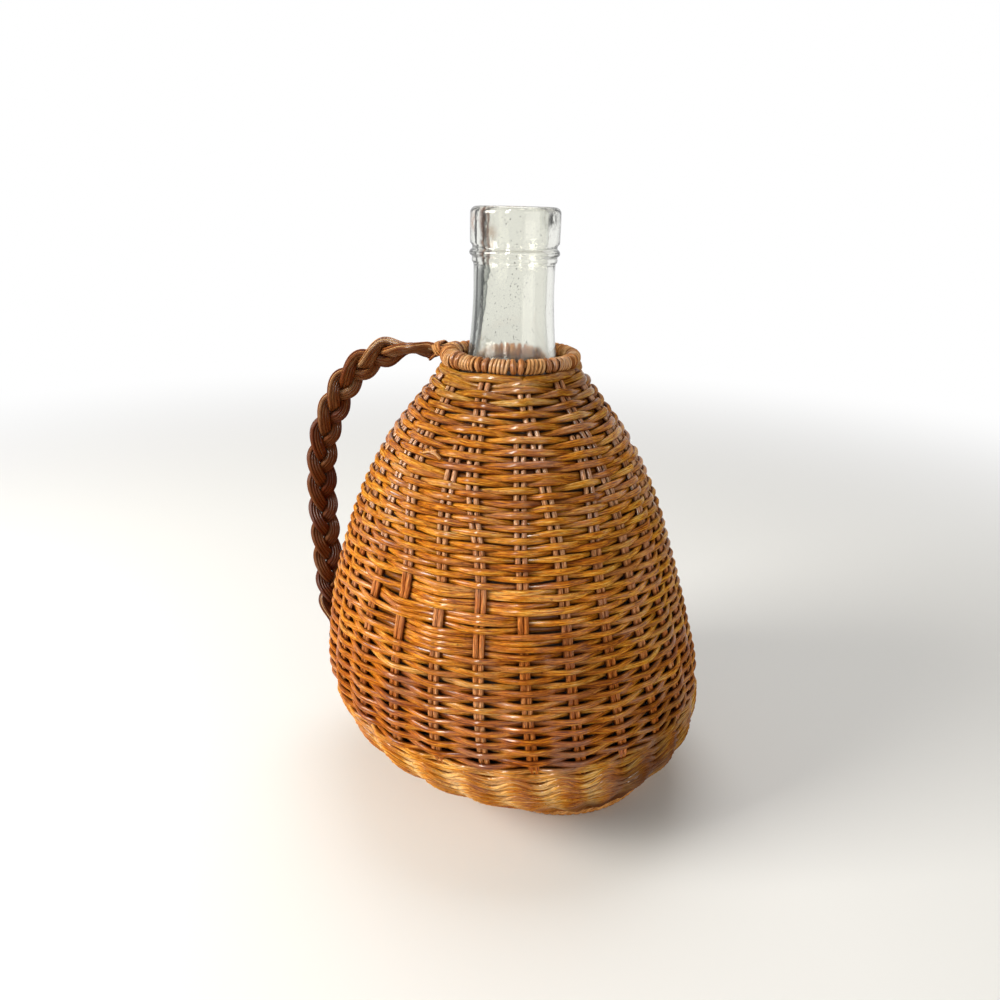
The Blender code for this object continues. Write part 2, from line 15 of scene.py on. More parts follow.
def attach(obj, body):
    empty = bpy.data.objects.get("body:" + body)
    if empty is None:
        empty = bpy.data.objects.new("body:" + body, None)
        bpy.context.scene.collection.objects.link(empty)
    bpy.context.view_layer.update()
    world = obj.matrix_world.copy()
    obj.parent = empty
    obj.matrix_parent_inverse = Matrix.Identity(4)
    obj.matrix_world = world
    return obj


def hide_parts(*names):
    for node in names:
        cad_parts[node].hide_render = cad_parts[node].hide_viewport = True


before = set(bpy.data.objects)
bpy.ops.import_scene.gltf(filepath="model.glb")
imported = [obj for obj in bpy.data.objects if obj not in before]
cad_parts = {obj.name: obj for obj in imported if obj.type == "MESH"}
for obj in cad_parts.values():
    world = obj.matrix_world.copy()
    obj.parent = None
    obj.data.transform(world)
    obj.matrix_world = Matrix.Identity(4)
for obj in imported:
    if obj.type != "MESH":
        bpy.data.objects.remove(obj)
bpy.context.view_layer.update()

FULL_TURN = 2 * math.pi
UP = (0.0, 0.0, 1.0)
rng = np.random.default_rng(7)

# In what follows, a RAMP is where something grows from nothing to full: a pair of heights, shares or
# distances. A ROD is its half width and half thickness

# Camera, solved from the photograph's perspective
CAMERA_PLACE = Vector((0.00487, -0.3333, 0.2692))
CAMERA_PITCH = math.radians(20.84)
CAMERA_ROLL = math.radians(1.30)
CAMERA_YAW = math.radians(-1.50)
CAMERA_LENS = 27.04
SENSOR_WIDTH = 36.0
CLIP_START = 0.01

# Casing: its outline is in shares of its height and radius
CASING_HEIGHT = 0.2070
CASING_RADIUS = 0.0912
CASING_LEAN = 0.0300
LEAN_POWER = 5
casing_outline_shares = np.array((
    (0.000, 0.523), (0.030, 0.596), (0.089, 0.735), (0.186, 0.9375), (0.297, 1.000), (0.445, 0.953),
    (0.594, 0.860), (0.743, 0.737), (0.854, 0.598), (0.950, 0.431), (1.000, 0.351),
))
CASING_WALL = 0.0084
OUTLINE_SAMPLES = 1200
LEFT_ANGLE = math.radians(200.0)
SHADED_ANGLE = -0.40

# Foot border: three rods twisted round each other, and two flat rounds inside them
BORDER_HEIGHT = 0.0060
BORDER_MIDDLE = 0.0029
BORDER_INSET = 0.0027
BORDER_RODS = 3
BORDER_ROD_RADIUS = 0.0016
BORDER_TWIST = 0.0012
BORDER_POINTS = 12
border_round_insets = (0.0063, 0.0083)
BORDER_ROUND_WIDTH = 0.0010
BORDER_ROUND_REACH = 0.0028

# Stakes
STAKE_PAIRS = 28
STAKE_STEP = FULL_TURN / STAKE_PAIRS
FRONT_STAKE_ANGLE = math.radians(-84.0)
STAKE_RADIUS = 0.00118
STAKE_DEPTH = 0.0029
STAKE_MARGIN = 0.001
STAKE_POINTS = 60
STAKE_SINK = 0.0013
STAKE_SINK_RAMP = (0.061, 0.055)
STAKE_PITCH_LOW = 0.00222
STAKE_PITCH_HIGH = 0.00300
STAKE_PITCH_RAMP = (0.130, 0.165)
STAKE_SWAY = 0.00012
STAKE_SWAY_RATE = 90.0
STAKE_SWAY_STEP = 2.1
SHORT_STAKE_SHARE = 0.900
stake_draw_shares = np.array(((0.72, 1.00), (0.90, 0.63), (0.97, 0.00)))
STAKE_SPREAD = math.radians(11.0)
SPREAD_ANGLE = math.radians(-65.5)
SPREAD_RAMP = (0.62, 0.89)

# Plain rows, from the rim down: the top rows stand wider apart, and their rods are thicker. A row's ends
# meet behind one of the SEAM_PLACES stake pairs at the back
ROW_PITCH = 0.00252
FIRST_ROW_RISE = 0.0010
WIDER_ROWS = 13
ROW_POINTS = 10
LEAST_STEP = 0.006
SEAM_PLACES = 7
SEAM_STEP = 5
DOUBLED_ROW = 1
ROW_NUDGE = 0.00020
ROW_WOBBLE = 0.00015
ROW_WIDTH_SPREAD = 0.05
ROW_TONE_SPREAD = 0.10
CROSSING_MARGIN = 0.05
CROSSING_EASED_SHARE = 0.30
CROSSING_RADIUS = 0.00138
UPPER_CROWN_RADIUS = 0.00156
LOWER_CROWN_RADIUS = 0.00120
UPPER_RAMP = (0.100, 0.155)
SHOULDER_GROWTH = 0.00020
SHOULDER_RAMP = (0.172, 0.184)
CANE_THICKNESS = 0.00110
LEFT_SWELL = 0.13
WEAVE_REACH = 0.0038
OPEN_WEAVE_FOOT = 0.0600
GROUP_WEAVE_FOOT = 0.1720
TOP_ROW_HEIGHT = 0.2083
TOP_ROW_RADIUS = 0.00205
TOP_ROW_FLATNESS = 0.8
TOP_ROW_SIDE = 0.50
TOP_ROW_SAG = 0.0012
SAG_ROWS = 1.2

# Close rows, from the plain rows down to the border, in waves round the stakes
WALE_PITCH = 0.00215
WALE_RADIUS = 0.00120
WALE_WAVE = 0.0020
WALE_LIFT = 0.0030
WALE_DRIFT = 0.0004
WALE_WOBBLE = 0.00012
WALE_START_RAMP = (0.062, 0.050)
WALE_END_RAMP = (0.009, 0.031)
WALE_TONE = 0.80
WALE_TONE_RISE = 0.16
# Painted light and shade: each wave lighter on one flank and darker on the other, and the rows darker
# towards SHADED_ANGLE
WALE_LIT_FLANK = 0.36
WALE_LIT_FLANK_PHASE = 0.5
WALE_SHADE = 0.46
WALE_CROWN = 0.3
# Rows that close the turn from the lowest of them to the border
turn_row_shares = (0.28, 0.52, 0.76)
TURN_ROW_POINTS = 160
TURN_ROW_RISE = 0.0010
TURN_ROW_REACH = 0.0008

# Rod between the top row and the rim
COLLAR_RADIUS = 0.0290
COLLAR_HEIGHT = 0.2064
COLLAR_SAG = 0.0016
COLLAR_ROD = (0.0013, 0.0012)
RING_POINTS = 120

# Splice: short rod ends on the left, each from a start to an end along the row, and from low to high
SPLICE_ANGLE = math.radians(-125.0)
SPLICE_HEIGHT = 0.1785
SPLICE_DEPTH = 0.0004
SPLICE_ROD = (0.0008, 0.0005)
SPLICE_POINTS = 8
splice_ends = (
    (-0.0040, 0.0030, 0.0006, -0.0006), (-0.0052, 0.0012, -0.0008, 0.0010),
    (-0.0022, 0.0046, 0.0016, -0.0014),
)

# CAD bands that the rows stand for: node, lower edge, upper edge, material slot
bands = (
    ("shoulder_weave", 0.1770, 0.2100, "shoulder_cane"),
    ("upper_weave", 0.1240, 0.1770, "golden_cane"),
    ("middle_weave", 0.0640, 0.1240, "golden_cane"),
    ("lower_weave", 0.0220, 0.0640, "red_brown_cane"),
    ("foot_wale", 0.0060, 0.0220, "foot_cane"),
)

# Patch on the front, where rows pass the same sides by threes, and the pair beside it
PATCH_TOP = 0.1302
PATCH_ROWS = 9
PATCH_STEP = 3
PATCH_PAIRS = (0, 1, 2, 3)
PATCH_END_PAIR = 4
PATCH_END_ROWS = (2, 3, 4)

# Base: spokes, rounds woven over and under them, and two layers of sticks in the middle, with the CAD's
# thick bars above them
BASE_LEVEL = 0.0015
BASE_MIDDLE = 0.00155
base_spoke_radii = np.linspace(0.0100, 0.0390, 8)
BASE_SPOKE = (0.0008, 0.0007)
base_round_radii = np.arange(0.0110, 0.0415, 0.0021)
BASE_ROUND = (0.00095, 0.00085)
BASE_ROUND_POINTS = 8
BASE_WAVE = 0.0006
BASE_STICK = (0.0009, 0.0008)
base_stick_shifts = np.linspace(-0.00475, 0.00475, 6)
base_stick_reaches = np.linspace(-0.0125, 0.0125, 6)
BASE_LAYER_RISE = 0.0007
BASE_BARS = 8

# Rim: a core, pairs of stake ends curled over it, and narrow wraps, which swell over the handle's start
RIM_RADIUS = 0.0271
RIM_HEIGHT = 0.2108
RIM_CORE_RADIUS = 0.0019
RIM_SIDES = 12
CURL_TURN = -0.085
CURL_HALF_SPAN = 0.0034
CURL_OFFSET = 0.00150
CURL_DISTANCE = 0.00190
CURL_SWELL = 0.0014
CURL_SLANT = 0.010
CURL_ROD = (0.00140, 0.00150)
curl_arc = np.radians(np.linspace(-60.0, 205.0, 20))
WRAP_PITCH = 0.00148
WRAP_POINTS = 24
WRAP_DISTANCE = 0.00258
WRAP_SWELL = 0.0015
WRAP_DROP = 0.0008
WRAP_SLANT = 0.016
WRAP_SLANT_SPREAD = 0.006
WRAP_EDGE = 0.003
WRAP_THICKNESS = 0.00070
WRAP_TONE_SPREAD = 0.06
MOUND_ANGLE = math.radians(186.0)
MOUND_SPAN = math.radians(52.0)

# Handle
HANDLE_STAKE = 8
HANDLE_TURN = math.radians(-3.0)
HANDLE_ANGLE = FRONT_STAKE_ANGLE - HANDLE_STAKE * STAKE_STEP + HANDLE_TURN
HANDLE_FOOT_HEIGHT = 0.0460
STRANDS = 3
STRAND_RADIUS = 0.0021
STRAND_HEAD_RADIUS = 0.0016
STRAND_FOOT_RADIUS = 0.0012
PLAIT_HALF_WIDTH = 0.0044
PLAIT_HALF_DEPTH = 0.0028
PLAIT_TURNS = 4
PLAIT_TILT = math.radians(45.0)
HEAD_TILT = math.radians(38.0)
HEAD_TILT_RAMP = (0.003, 0.011)
HEAD_RUN = 0.0125
FOOT_RUN = 0.0170
RAMP_RUN = 0.0080
TILT_RUN = 0.0300
EASE_SHARE = 0.06
WINDING_GAP = 0.0004
WEAVER_DIAMETER = 0.0027
FOOT_TURN_HEIGHT = 0.0052
ROUTE_CLEARANCE = 0.0060
ROUTE_TOP_SHARE = 0.599
ROUTE_LEVELS = 9
STRAND_POINTS = 200
HOOK_POINTS = 8
HOOK_DISTANCE = 0.0030
HEAD_PITCH = 0.0036
handle_route_shares = (
    (0.106, 1.006), (0.198, 1.002), (0.306, 1.004), (0.444, 0.996), (0.598, 0.973), (0.740, 0.937),
    (0.828, 0.899), (0.896, 0.854), (0.960, 0.806), (1.004, 0.740), (1.020, 0.657), (1.015, 0.531),
    (1.006, 0.436), (1.001, 0.370), (1.000, 0.318), (0.974, 0.273),
)
handle_axes = np.array((
    (math.cos(HANDLE_ANGLE), math.sin(HANDLE_ANGLE), 0.0), UP,
    (-math.sin(HANDLE_ANGLE), math.cos(HANDLE_ANGLE), 0.0),
))

# Reeds of a strand, in two layers: across and outward
strand_reeds = (
    (-1.5, -0.5), (-0.5, -0.6), (0.5, -0.6), (1.5, -0.5), (-1.5, 0.3), (-0.5, 0.6), (0.5, 0.6), (1.5, 0.3),
)
REED_PITCH_SHARE = 0.62
REED_LAYER_SHARE = 0.80
REED_SHARES = (0.40, 0.44)
REED_TONE_SPREAD = 0.24

# Lashing: loops round the handle's start, and loose ends (across, run, drop, tone)
lashing_distances = (0.0042, 0.0054, 0.0066)
LASHING_POINTS = 36
LASHING_REACH = 0.0020
LASHING_DEPTH = 0.0022
LASHING_SLANT = 0.0008
LASHING_PHASE = 0.6
LASHING_ROD = (0.00085, 0.0007)
LASHING_CORNER = 0.02
lashing_ends = (
    (0.0020, 0.0056, -0.0030, 0.1), (0.0036, 0.0044, -0.0036, 0.2), (0.0030, 0.0048, 0.0012, 1.2),
)
LASHING_END_START = 0.0052
LASHING_END_RISE = 0.0004
LASHING_END_ROD = (0.00105, 0.0006)
LASHING_END_POINTS = 6

# Glass: its profile as (radius, height), from the foot up outside and from the mouth down inside.
# An edge of the foot is (how far inside the heel's radius, height)
GLASS_SEGMENTS = 160
GLASS_WALL = 0.003
GLASS_FOOT = 0.0091
GLASS_LEVELS = 60
HEEL_RADIUS = 0.0100
HEEL_INNER_RADIUS = 0.0070
HEEL_INNER_INSET = 0.0005
HEEL_TURN = 45
HEEL_STEPS = 8
HEEL_INNER_STEPS = 6
neck_outline = np.array((
    (0.0198, 0.2085), (0.0190, 0.2150), (0.0182, 0.2230), (0.0174, 0.2360), (0.01735, 0.2470),
))
NECK_START = 0.2095
NECK_LEVELS = 14
BODY_INNER_TOP = 0.2060
foot_outline = ((0.0, 0.0131), (0.0060, 0.0129), (0.0120, 0.0121))
FOOT_EDGE = (0.0040, 0.0094)
neck_ring_foot = ((0.0174, 0.2492), (0.0177, 0.2501), (0.0181, 0.2506), (0.0182, 0.2514), (0.0181, 0.2520))
neck_ring_top = (
    (0.0180, 0.2560), (0.0179, 0.2565), (0.0183, 0.2572), (0.0189, 0.2580), (0.0190, 0.2600),
    (0.0190, 0.2690),
)
neck_inside = (
    (0.0142, 0.2650), (0.0141, 0.2560), (0.0142, 0.2450), (0.0144, 0.2300), (0.0152, 0.2200),
    (0.0166, 0.2110),
)
FOOT_INNER_EDGE = (0.0060, 0.0125)
foot_inside = ((0.0120, 0.0151), (0.0, 0.0161))
# Arcs of the profile: centre, radius, start and end in degrees, and number of points
NECK_RING_ARC = ((0.0176, 0.2541), 0.0016, -70, 70, 9)
LIP_ARC = ((0.0162, 0.2695), 0.0028, 0, 90, 9)
LIP_INNER_ARC = ((0.0158, 0.2708), 0.0015, 90, 180, 6)


def unit(vectors):
    """Scale vectors to a length of one."""
    return vectors / np.maximum(np.linalg.norm(vectors, axis=-1, keepdims=True), 1e-12)


def square_to(vectors, along):
    """Turn directions square to others, with a length of one."""
    return unit(vectors - np.sum(vectors * along, axis=1, keepdims=True) * along)


def hermite(knots, values, places):
    """Read a smooth curve through values at the knots: its values and slopes at many places."""
    tangents = np.gradient(values, knots, axis=0)
    index = np.clip(np.searchsorted(knots, places) - 1, 0, len(knots) - 2)
    step = knots[index + 1] - knots[index]
    t = (places - knots[index]) / step
    if values.ndim > 1:
        step, t = step[:, None], t[:, None]
    before, after = values[index], values[index + 1]
    leaving, arriving = tangents[index], tangents[index + 1]
    value = (
        (2 * t**3 - 3 * t**2 + 1) * before + (t**3 - 2 * t**2 + t) * step * leaving
        + (3 * t**2 - 2 * t**3) * after + (t**3 - t**2) * step * arriving
    )
    slope = (
        (6 * t**2 - 6 * t) * (before - after) / step
        + (3 * t**2 - 4 * t + 1) * leaving + (3 * t**2 - 2 * t) * arriving
    )
    return value, slope


def ease(share):
    """Rise smoothly from 0 to 1 as share goes from 0 to 1."""
    share = np.clip(share, 0.0, 1.0)
    return share * share * (3 - 2 * share)


def rise(value, start, end):
    """Rise smoothly from 0 to 1 as a value goes from start to end."""
    return ease((value - start) / (end - start))


def circle(radius, height, angles, centre=0.0):
    """Give points at a radius and height, round a centre that stands off the neck's axis."""
    height = np.broadcast_to(height, angles.shape)
    return np.stack([centre + radius * np.cos(angles), radius * np.sin(angles), height], axis=1)


def full_circle(points):
    """Give angles evenly round a circle."""
    return np.linspace(0, FULL_TURN, points, endpoint=False)


outline_heights = casing_outline_shares[:, 0] * CASING_HEIGHT
outline_radii = casing_outline_shares[:, 1] * CASING_RADIUS


def outline(height):
    """Give the casing's radius and slope at heights, which go on evenly above its top."""
    height = np.asarray(height, float)
    inside = np.minimum(height, CASING_HEIGHT)
    radius, slope = hermite(outline_heights, outline_radii, inside)
    return radius + slope * (height - inside), slope


def lean(height):
    """Give how far the casing's centre stands off the neck's axis, and its slope."""
    left = np.clip(1 - height / CASING_HEIGHT, 0.0, 1.0)
    slope = -LEAN_POWER * CASING_LEAN / CASING_HEIGHT * left**(LEAN_POWER - 1)
    return CASING_LEAN * left**LEAN_POWER, slope


def inset_radius(height, depth):
    """Give the radius a depth inside the casing's surface, on the side where it slopes most."""
    radius, slope = outline(height)
    return radius - depth * np.hypot(1.0, np.abs(slope) + np.abs(lean(height)[1]))


def skin(angle, height, depth):
    """Give points a depth inside the casing's surface, and the outward direction there."""
    radius, slope = outline(height)
    offset, offset_slope = lean(height)
    slope = slope + offset_slope * np.cos(angle)
    length = np.hypot(1.0, slope)
    across = radius - depth / length
    places = np.stack([
        offset + across * np.cos(angle), across * np.sin(angle), height + depth * slope / length,
    ], axis=-1)
    outward = np.stack([np.cos(angle) / length, np.sin(angle) / length, -slope / length], axis=-1)
    return places, outward


def leftward(angles):
    """Give how far round to the left angles are, from 0 on the right to 1 on the left."""
    return (1 + np.cos(angles - LEFT_ANGLE)) / 2


def stake_angle(pair, height):
    """Give the angle that a stake pair stands at, which changes towards the neck."""
    share = np.asarray(height) / CASING_HEIGHT
    side = STAKE_STEP / 2 if pair % 2 else -STAKE_STEP / 2
    middle = FRONT_STAKE_ANGLE - pair * STAKE_STEP - side
    spread = STAKE_SPREAD * rise(share, *SPREAD_RAMP)
    middle = middle + spread * np.sin(middle - SPREAD_ANGLE)
    return middle + side * np.interp(share, stake_draw_shares[:, 0], stake_draw_shares[:, 1])


def wobble(angle, size, waves=5):
    """Give a smooth, closed random wave round the casing."""
    total = np.zeros_like(angle)
    for wave in range(1, waves + 1):
        total += rng.normal() * np.cos(wave * angle + rng.uniform(0, FULL_TURN)) / math.sqrt(waves)
    return size * total


def tube_faces(rings, sides, closed=False):
    """Give the faces between rings of points, and from the last ring to the first when closed."""
    ring = np.arange(rings if closed else rings - 1)[:, None]
    side = np.arange(sides)[None, :]
    after = (ring + 1) % rings
    right = (side + 1) % sides
    corners = (ring * sides + side, ring * sides + right, after * sides + right, after * sides + side)
    return np.stack(corners, axis=-1).reshape(-1, 4)


class Bundle:
    """Rods gathered into one mesh. Each vertex keeps its place in its own straightened rod."""

    # Straightened rods stand this far apart. An end has two more rings: their reach and their size
    ROD_SHIFT = 3.17
    CAP_REACHES = (0.9, 0.6)
    CAP_SIZES = (0.35, 0.80)
    rods = 0

    def __init__(self):
        """Start with no rods."""
        self.places, self.canes, self.crowns, self.tones, self.faces = [], [], [], [], []
        self.count = 0

    def add(self, path, outward, wide, thick, closed=False, crown=1.0, tone=0.5, sides=8):
        """Sweep an oval section along a path: thick is its half size along outward, wide across it."""
        path = np.asarray(path, float)
        size = len(path)
        outward = np.broadcast_to(np.asarray(outward, float), path.shape)
        wide, thick, crown, tone = (
            np.broadcast_to(np.asarray(value, float), (size,)) for value in (wide, thick, crown, tone)
        )
        if closed:
            tangent = np.roll(path, -1, axis=0) - np.roll(path, 1, axis=0)
        else:
            tangent = np.gradient(path, axis=0)
        tangent = unit(tangent)
        outward = square_to(outward, tangent)
        if not closed:
            before = tangent[0] * min(wide[0], thick[0])
            beyond = tangent[-1] * min(wide[-1], thick[-1])
            path = np.concatenate([
                [path[0] - before * reach for reach in self.CAP_REACHES], path,
                [path[-1] + beyond * reach for reach in self.CAP_REACHES[::-1]],
            ])
            tangent, outward, wide, thick, crown, tone = (
                np.concatenate([values[:1], values[:1], values, values[-1:], values[-1:]])
                for values in (tangent, outward, wide, thick, crown, tone)
            )
            shares = np.concatenate([self.CAP_SIZES, np.ones(size), self.CAP_SIZES[::-1]])
            wide, thick = wide * shares, thick * shares
            size = len(path)
        beside = np.cross(tangent, outward)
        turns = FULL_TURN * np.arange(sides) / sides
        up = thick[:, None] * np.cos(turns)
        side = wide[:, None] * np.sin(turns)
        ring = path[:, None] + outward[:, None] * up[:, :, None] + beside[:, None] * side[:, :, None]
        steps = np.linalg.norm(np.diff(path, axis=0), axis=1)
        along = np.concatenate([[0.0], np.cumsum(steps)]) + self.ROD_SHIFT * Bundle.rods
        cane = np.stack([np.repeat(along[:, None], sides, axis=1), up, side], axis=-1)
        self.places.append(ring.reshape(-1, 3))
        self.canes.append(cane.reshape(-1, 3))
        self.crowns.append(np.repeat(crown, sides))
        self.tones.append(np.repeat(tone, sides))
        self.faces.extend((tube_faces(size, sides, closed) + self.count).tolist())
        if not closed:
            self.faces.append([self.count + index for index in range(sides)][::-1])
            self.faces.append([self.count + (size - 1) * sides + index for index in range(sides)])
        self.count += size * sides
        Bundle.rods += 1

    def build(self, name, material, slot, *nodes):
        """Make the piece, and let it stand for CAD nodes."""
        mesh = bpy.data.meshes.new(name)
        mesh.from_pydata(np.concatenate(self.places).tolist(), [], self.faces)
        mesh.shade_smooth()
        cane = mesh.attributes.new("cane", "FLOAT_VECTOR", "POINT")
        cane.data.foreach_set("vector", np.concatenate(self.canes).ravel())
        # The crown, how far out a rod lies from 0 to 1, sets the painted shade behind the stakes
        for kind, values in (("crown", self.crowns), ("tone", self.tones)):
            attribute = mesh.attributes.new(kind, "FLOAT", "POINT")
            attribute.data.foreach_set("value", np.concatenate(values))
        add_piece(name, mesh, material, slot, *nodes)


def add_piece(name, mesh, material, slot, *nodes):
    """Put a mesh in the scene as a piece that stands for CAD nodes."""
    mesh.materials.append(material)
    piece = bpy.data.objects.new(name, mesh)
    bpy.context.scene.collection.objects.link(piece)
    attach(piece, "root")
    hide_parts(*nodes)


def color(red, green, blue):
    """Give a linear colour from screen values of 0 to 255."""
    shares = np.array((red, green, blue)) / 255
    linear = np.where(shares <= 0.04045, shares / 12.92, ((shares + 0.055) / 1.055)**2.4)
    return (*linear.tolist(), 1.0)


class Nodes:
    """Nodes added to a tree."""

    def __init__(self, tree):
        """Take the tree that the nodes go into."""
        self.tree = tree

    def join(self, value, socket):
        """Link another node's value to a socket, or set a plain one."""
        if isinstance(value, bpy.types.NodeSocket):
            self.tree.links.new(value, socket)
        else:
            socket.default_value = value

    def add(self, kind, *inputs, output=0, **settings):
        """Add a node, link or set its inputs in turn, and give one of its outputs."""
        made = self.tree.nodes.new(kind)
        for key, value in settings.items():
            setattr(made, key, value)
        for value, socket in zip(inputs, [socket for socket in made.inputs if socket.enabled]):
            self.join(value, socket)
        return made.outputs[output]

    def noise(self, vector, scale, detail=2.0, roughness=0.5):
        """Give a noise of 0 to 1 over a vector scaled by three factors."""
        scaled = self.add("ShaderNodeVectorMath", vector, scale, operation="MULTIPLY")
        return self.add("ShaderNodeTexNoise", scaled, 1.0, detail, roughness)

    def ramp(self, value, low, high, start=0.0, end=1.0):
        """Map a range of values smoothly onto another."""
        return self.add(
            "ShaderNodeMapRange", value, low, high, start, end, interpolation_type="SMOOTHSTEP",
        )

    def math(self, operation, first, second):
        """Join two values."""
        return self.add("ShaderNodeMath", first, second, operation=operation)

    def times(self, first, second):
        """Multiply two values."""
        return self.math("MULTIPLY", first, second)

    def mix(self, share, first, second, blend="MIX"):
        """Mix two colours."""
        made = self.tree.nodes.new("ShaderNodeMix")
        made.data_type = "RGBA"
        made.blend_type = blend
        for index, value in ((0, share), (6, first), (7, second)):
            self.join(value, made.inputs[index])
        return made.outputs[2]

    def place(self):
        """Give the place in the part's frame, and its coordinates by axis."""
        whole = self.add("ShaderNodeTexCoord", output=3)
        return whole, dict(zip("xyz", self.add("ShaderNodeSeparateXYZ", whole).node.outputs))

    def spot(self, place, centre, radius, core, amount=1.0):
        """Give a soft spot round a point, full within a share of its radius."""
        apart = self.add("ShaderNodeVectorMath", place, centre, operation="DISTANCE", output=1)
        return self.ramp(apart, radius, radius * core, 0.0, amount)

    def seen(self):
        """Tell rays from the camera, straight, mirrored or through glass (1), from the others (0)."""
        path = self.tree.nodes.new("ShaderNodeLightPath")
        seen = self.math("MAXIMUM", path.outputs["Is Camera Ray"], path.outputs["Is Glossy Ray"])
        return self.math("MAXIMUM", seen, path.outputs["Is Transmission Ray"])


class Shader(Nodes):
    """A material in the making."""

    def __init__(self, name, **values):
        """Start a material, with values set on its surface."""
        self.material = bpy.data.materials.new(name)
        self.material.use_nodes = True
        super().__init__(self.material.node_tree)
        self.surface = self.tree.nodes["Principled BSDF"]
        for socket, value in values.items():
            self.surface.inputs[socket.replace("_", " ")].default_value = value

    def use(self, socket, value):
        """Link a value to the surface."""
        self.tree.links.new(value, self.surface.inputs[socket])

    def bump(self, height, strength, distance):
        """Raise the surface by a height of 0 to 1."""
        bump = self.tree.nodes.new("ShaderNodeBump")
        bump.inputs["Strength"].default_value = strength
        bump.inputs["Distance"].default_value = distance
        self.tree.links.new(height, bump.inputs["Height"])
        self.use("Normal", bump.outputs[0])


# Cane material. Noise scales are along a rod, through it and across it, or in space. A RANGE is what
# a value is mapped by: from low to high, onto start to end
ROD_NOISE = (11.0, 0.0, 0.0)
STREAK_NOISE = (150.0, 2100.0, 2100.0)
FLUSH_NOISE = (38.0, 380.0, 380.0)
GRAIN_NOISE = (330.0, 3200.0, 3200.0)
FLECK_NOISE = (420.0, 700.0, 700.0)
CLOUD_NOISE = (28.0, 28.0, 28.0)
VARNISH_NOISE = (75.0, 75.0, 75.0)
FINE_DETAIL = (3.0, 0.6)
ROD_SHARE = 0.28
STREAK_SHARE = 0.72
OWN_SHARE = 0.30
TONE_START = 0.36
TONE_STEP = 0.07
FEW_TONES = 4
FEW_TONES_END = 0.64
FLUSH_RANGE = (0.50, 0.68, 0.0, 0.42)
CLOUD_RANGE = (0.30, 0.62, 0.45, 1.0)
GRAIN_RANGE = (0.32, 0.62, 0.58, 1.22)
FLECK_RANGE = (0.67, 0.75, 0.0, 0.5)
BEHIND_SHADE_RANGE = (0.0, 0.24)
INNER_DIRT_AND_SHADE_RANGE = (-0.0002, 0.0008, 0.85, 0.0)
DULL_RANGE = (0.25, 0.75, 0.40, 0.62)
VARNISH_RANGE = (0.44, 0.62)
VARNISH_SHARES = (0.15, 2.2)
FOOT_VARNISH_RANGE = (0.020, 0.060, 0.4, 1.0)
STAIN_AND_SHADE_CORE = 0.3
RELIEF_SHARES = (0.5, 0.8)
RELIEF_STRENGTH = 0.7
RELIEF_DISTANCE = 0.00022
# Dark brown of the flecks in the cane, and of the painted shade behind the stakes and on the rods' inner
# sides
fleck_and_shade_color = color(78, 30, 4)
blush_color = color(172, 112, 72)

golden_tones = (
    color(108, 47, 4), color(160, 84, 12), color(192, 113, 24), color(208, 137, 37),
    color(222, 164, 71), color(230, 189, 122),
)
stake_tones = (color(126, 72, 38), color(172, 114, 70), color(204, 152, 106), color(222, 182, 140))
border_tones = (color(176, 108, 48), color(216, 150, 80), color(230, 182, 118))
base_tones = (color(140, 84, 40), color(184, 122, 64), color(200, 146, 92))
rim_tones = (color(122, 66, 26), color(168, 108, 54), color(200, 148, 92), color(220, 178, 128))
reed_tones = (color(92, 44, 16), color(168, 104, 48), color(222, 164, 94), color(240, 204, 148))

# Darker regions: axis, where the change starts and ends, colour and amount
wall_regions = (
    ("x", 0.000, 0.085, color(222, 255, 252), 0.80),
    ("z", 0.110, 0.090, color(236, 220, 206), 0.80),
    ("z", 0.120, 0.170, color(222, 221, 222), 0.90),
    ("z", 0.184, 0.202, color(226, 240, 255), 0.85),
)
stake_regions = (("z", 0.160, 0.125, color(240, 190, 106), 0.95),)
handle_regions = (("z", 0.208, 0.165, color(164, 130, 90), 0.9),)

# Stains, and one painted shade: centre, radius, colour and amount
wall_stains_and_shade = (
    ((-0.0085, -0.0890, 0.0670), 0.0110, color(112, 70, 58), 0.75),
    ((0.0288, -0.0871, 0.0650), 0.0130, color(112, 68, 50), 0.70),
    ((-0.0420, -0.0760, 0.0880), 0.0120, color(122, 72, 50), 0.50),
    ((-0.0300, -0.0820, 0.0900), 0.0150, color(120, 62, 28), 0.40),
    ((0.0500, -0.0600, 0.1400), 0.0180, color(120, 84, 44), 0.40),
    # Painted shade: the foot's right side, darker where the light falls off
    ((0.0680, -0.0540, 0.0220), 0.0640, color(92, 48, 8), 1.00),
    ((-0.0080, -0.0860, 0.0960), 0.0300, color(116, 62, 26), 0.40),
    ((0.0300, -0.0800, 0.1000), 0.0280, color(110, 60, 26), 0.35),
)


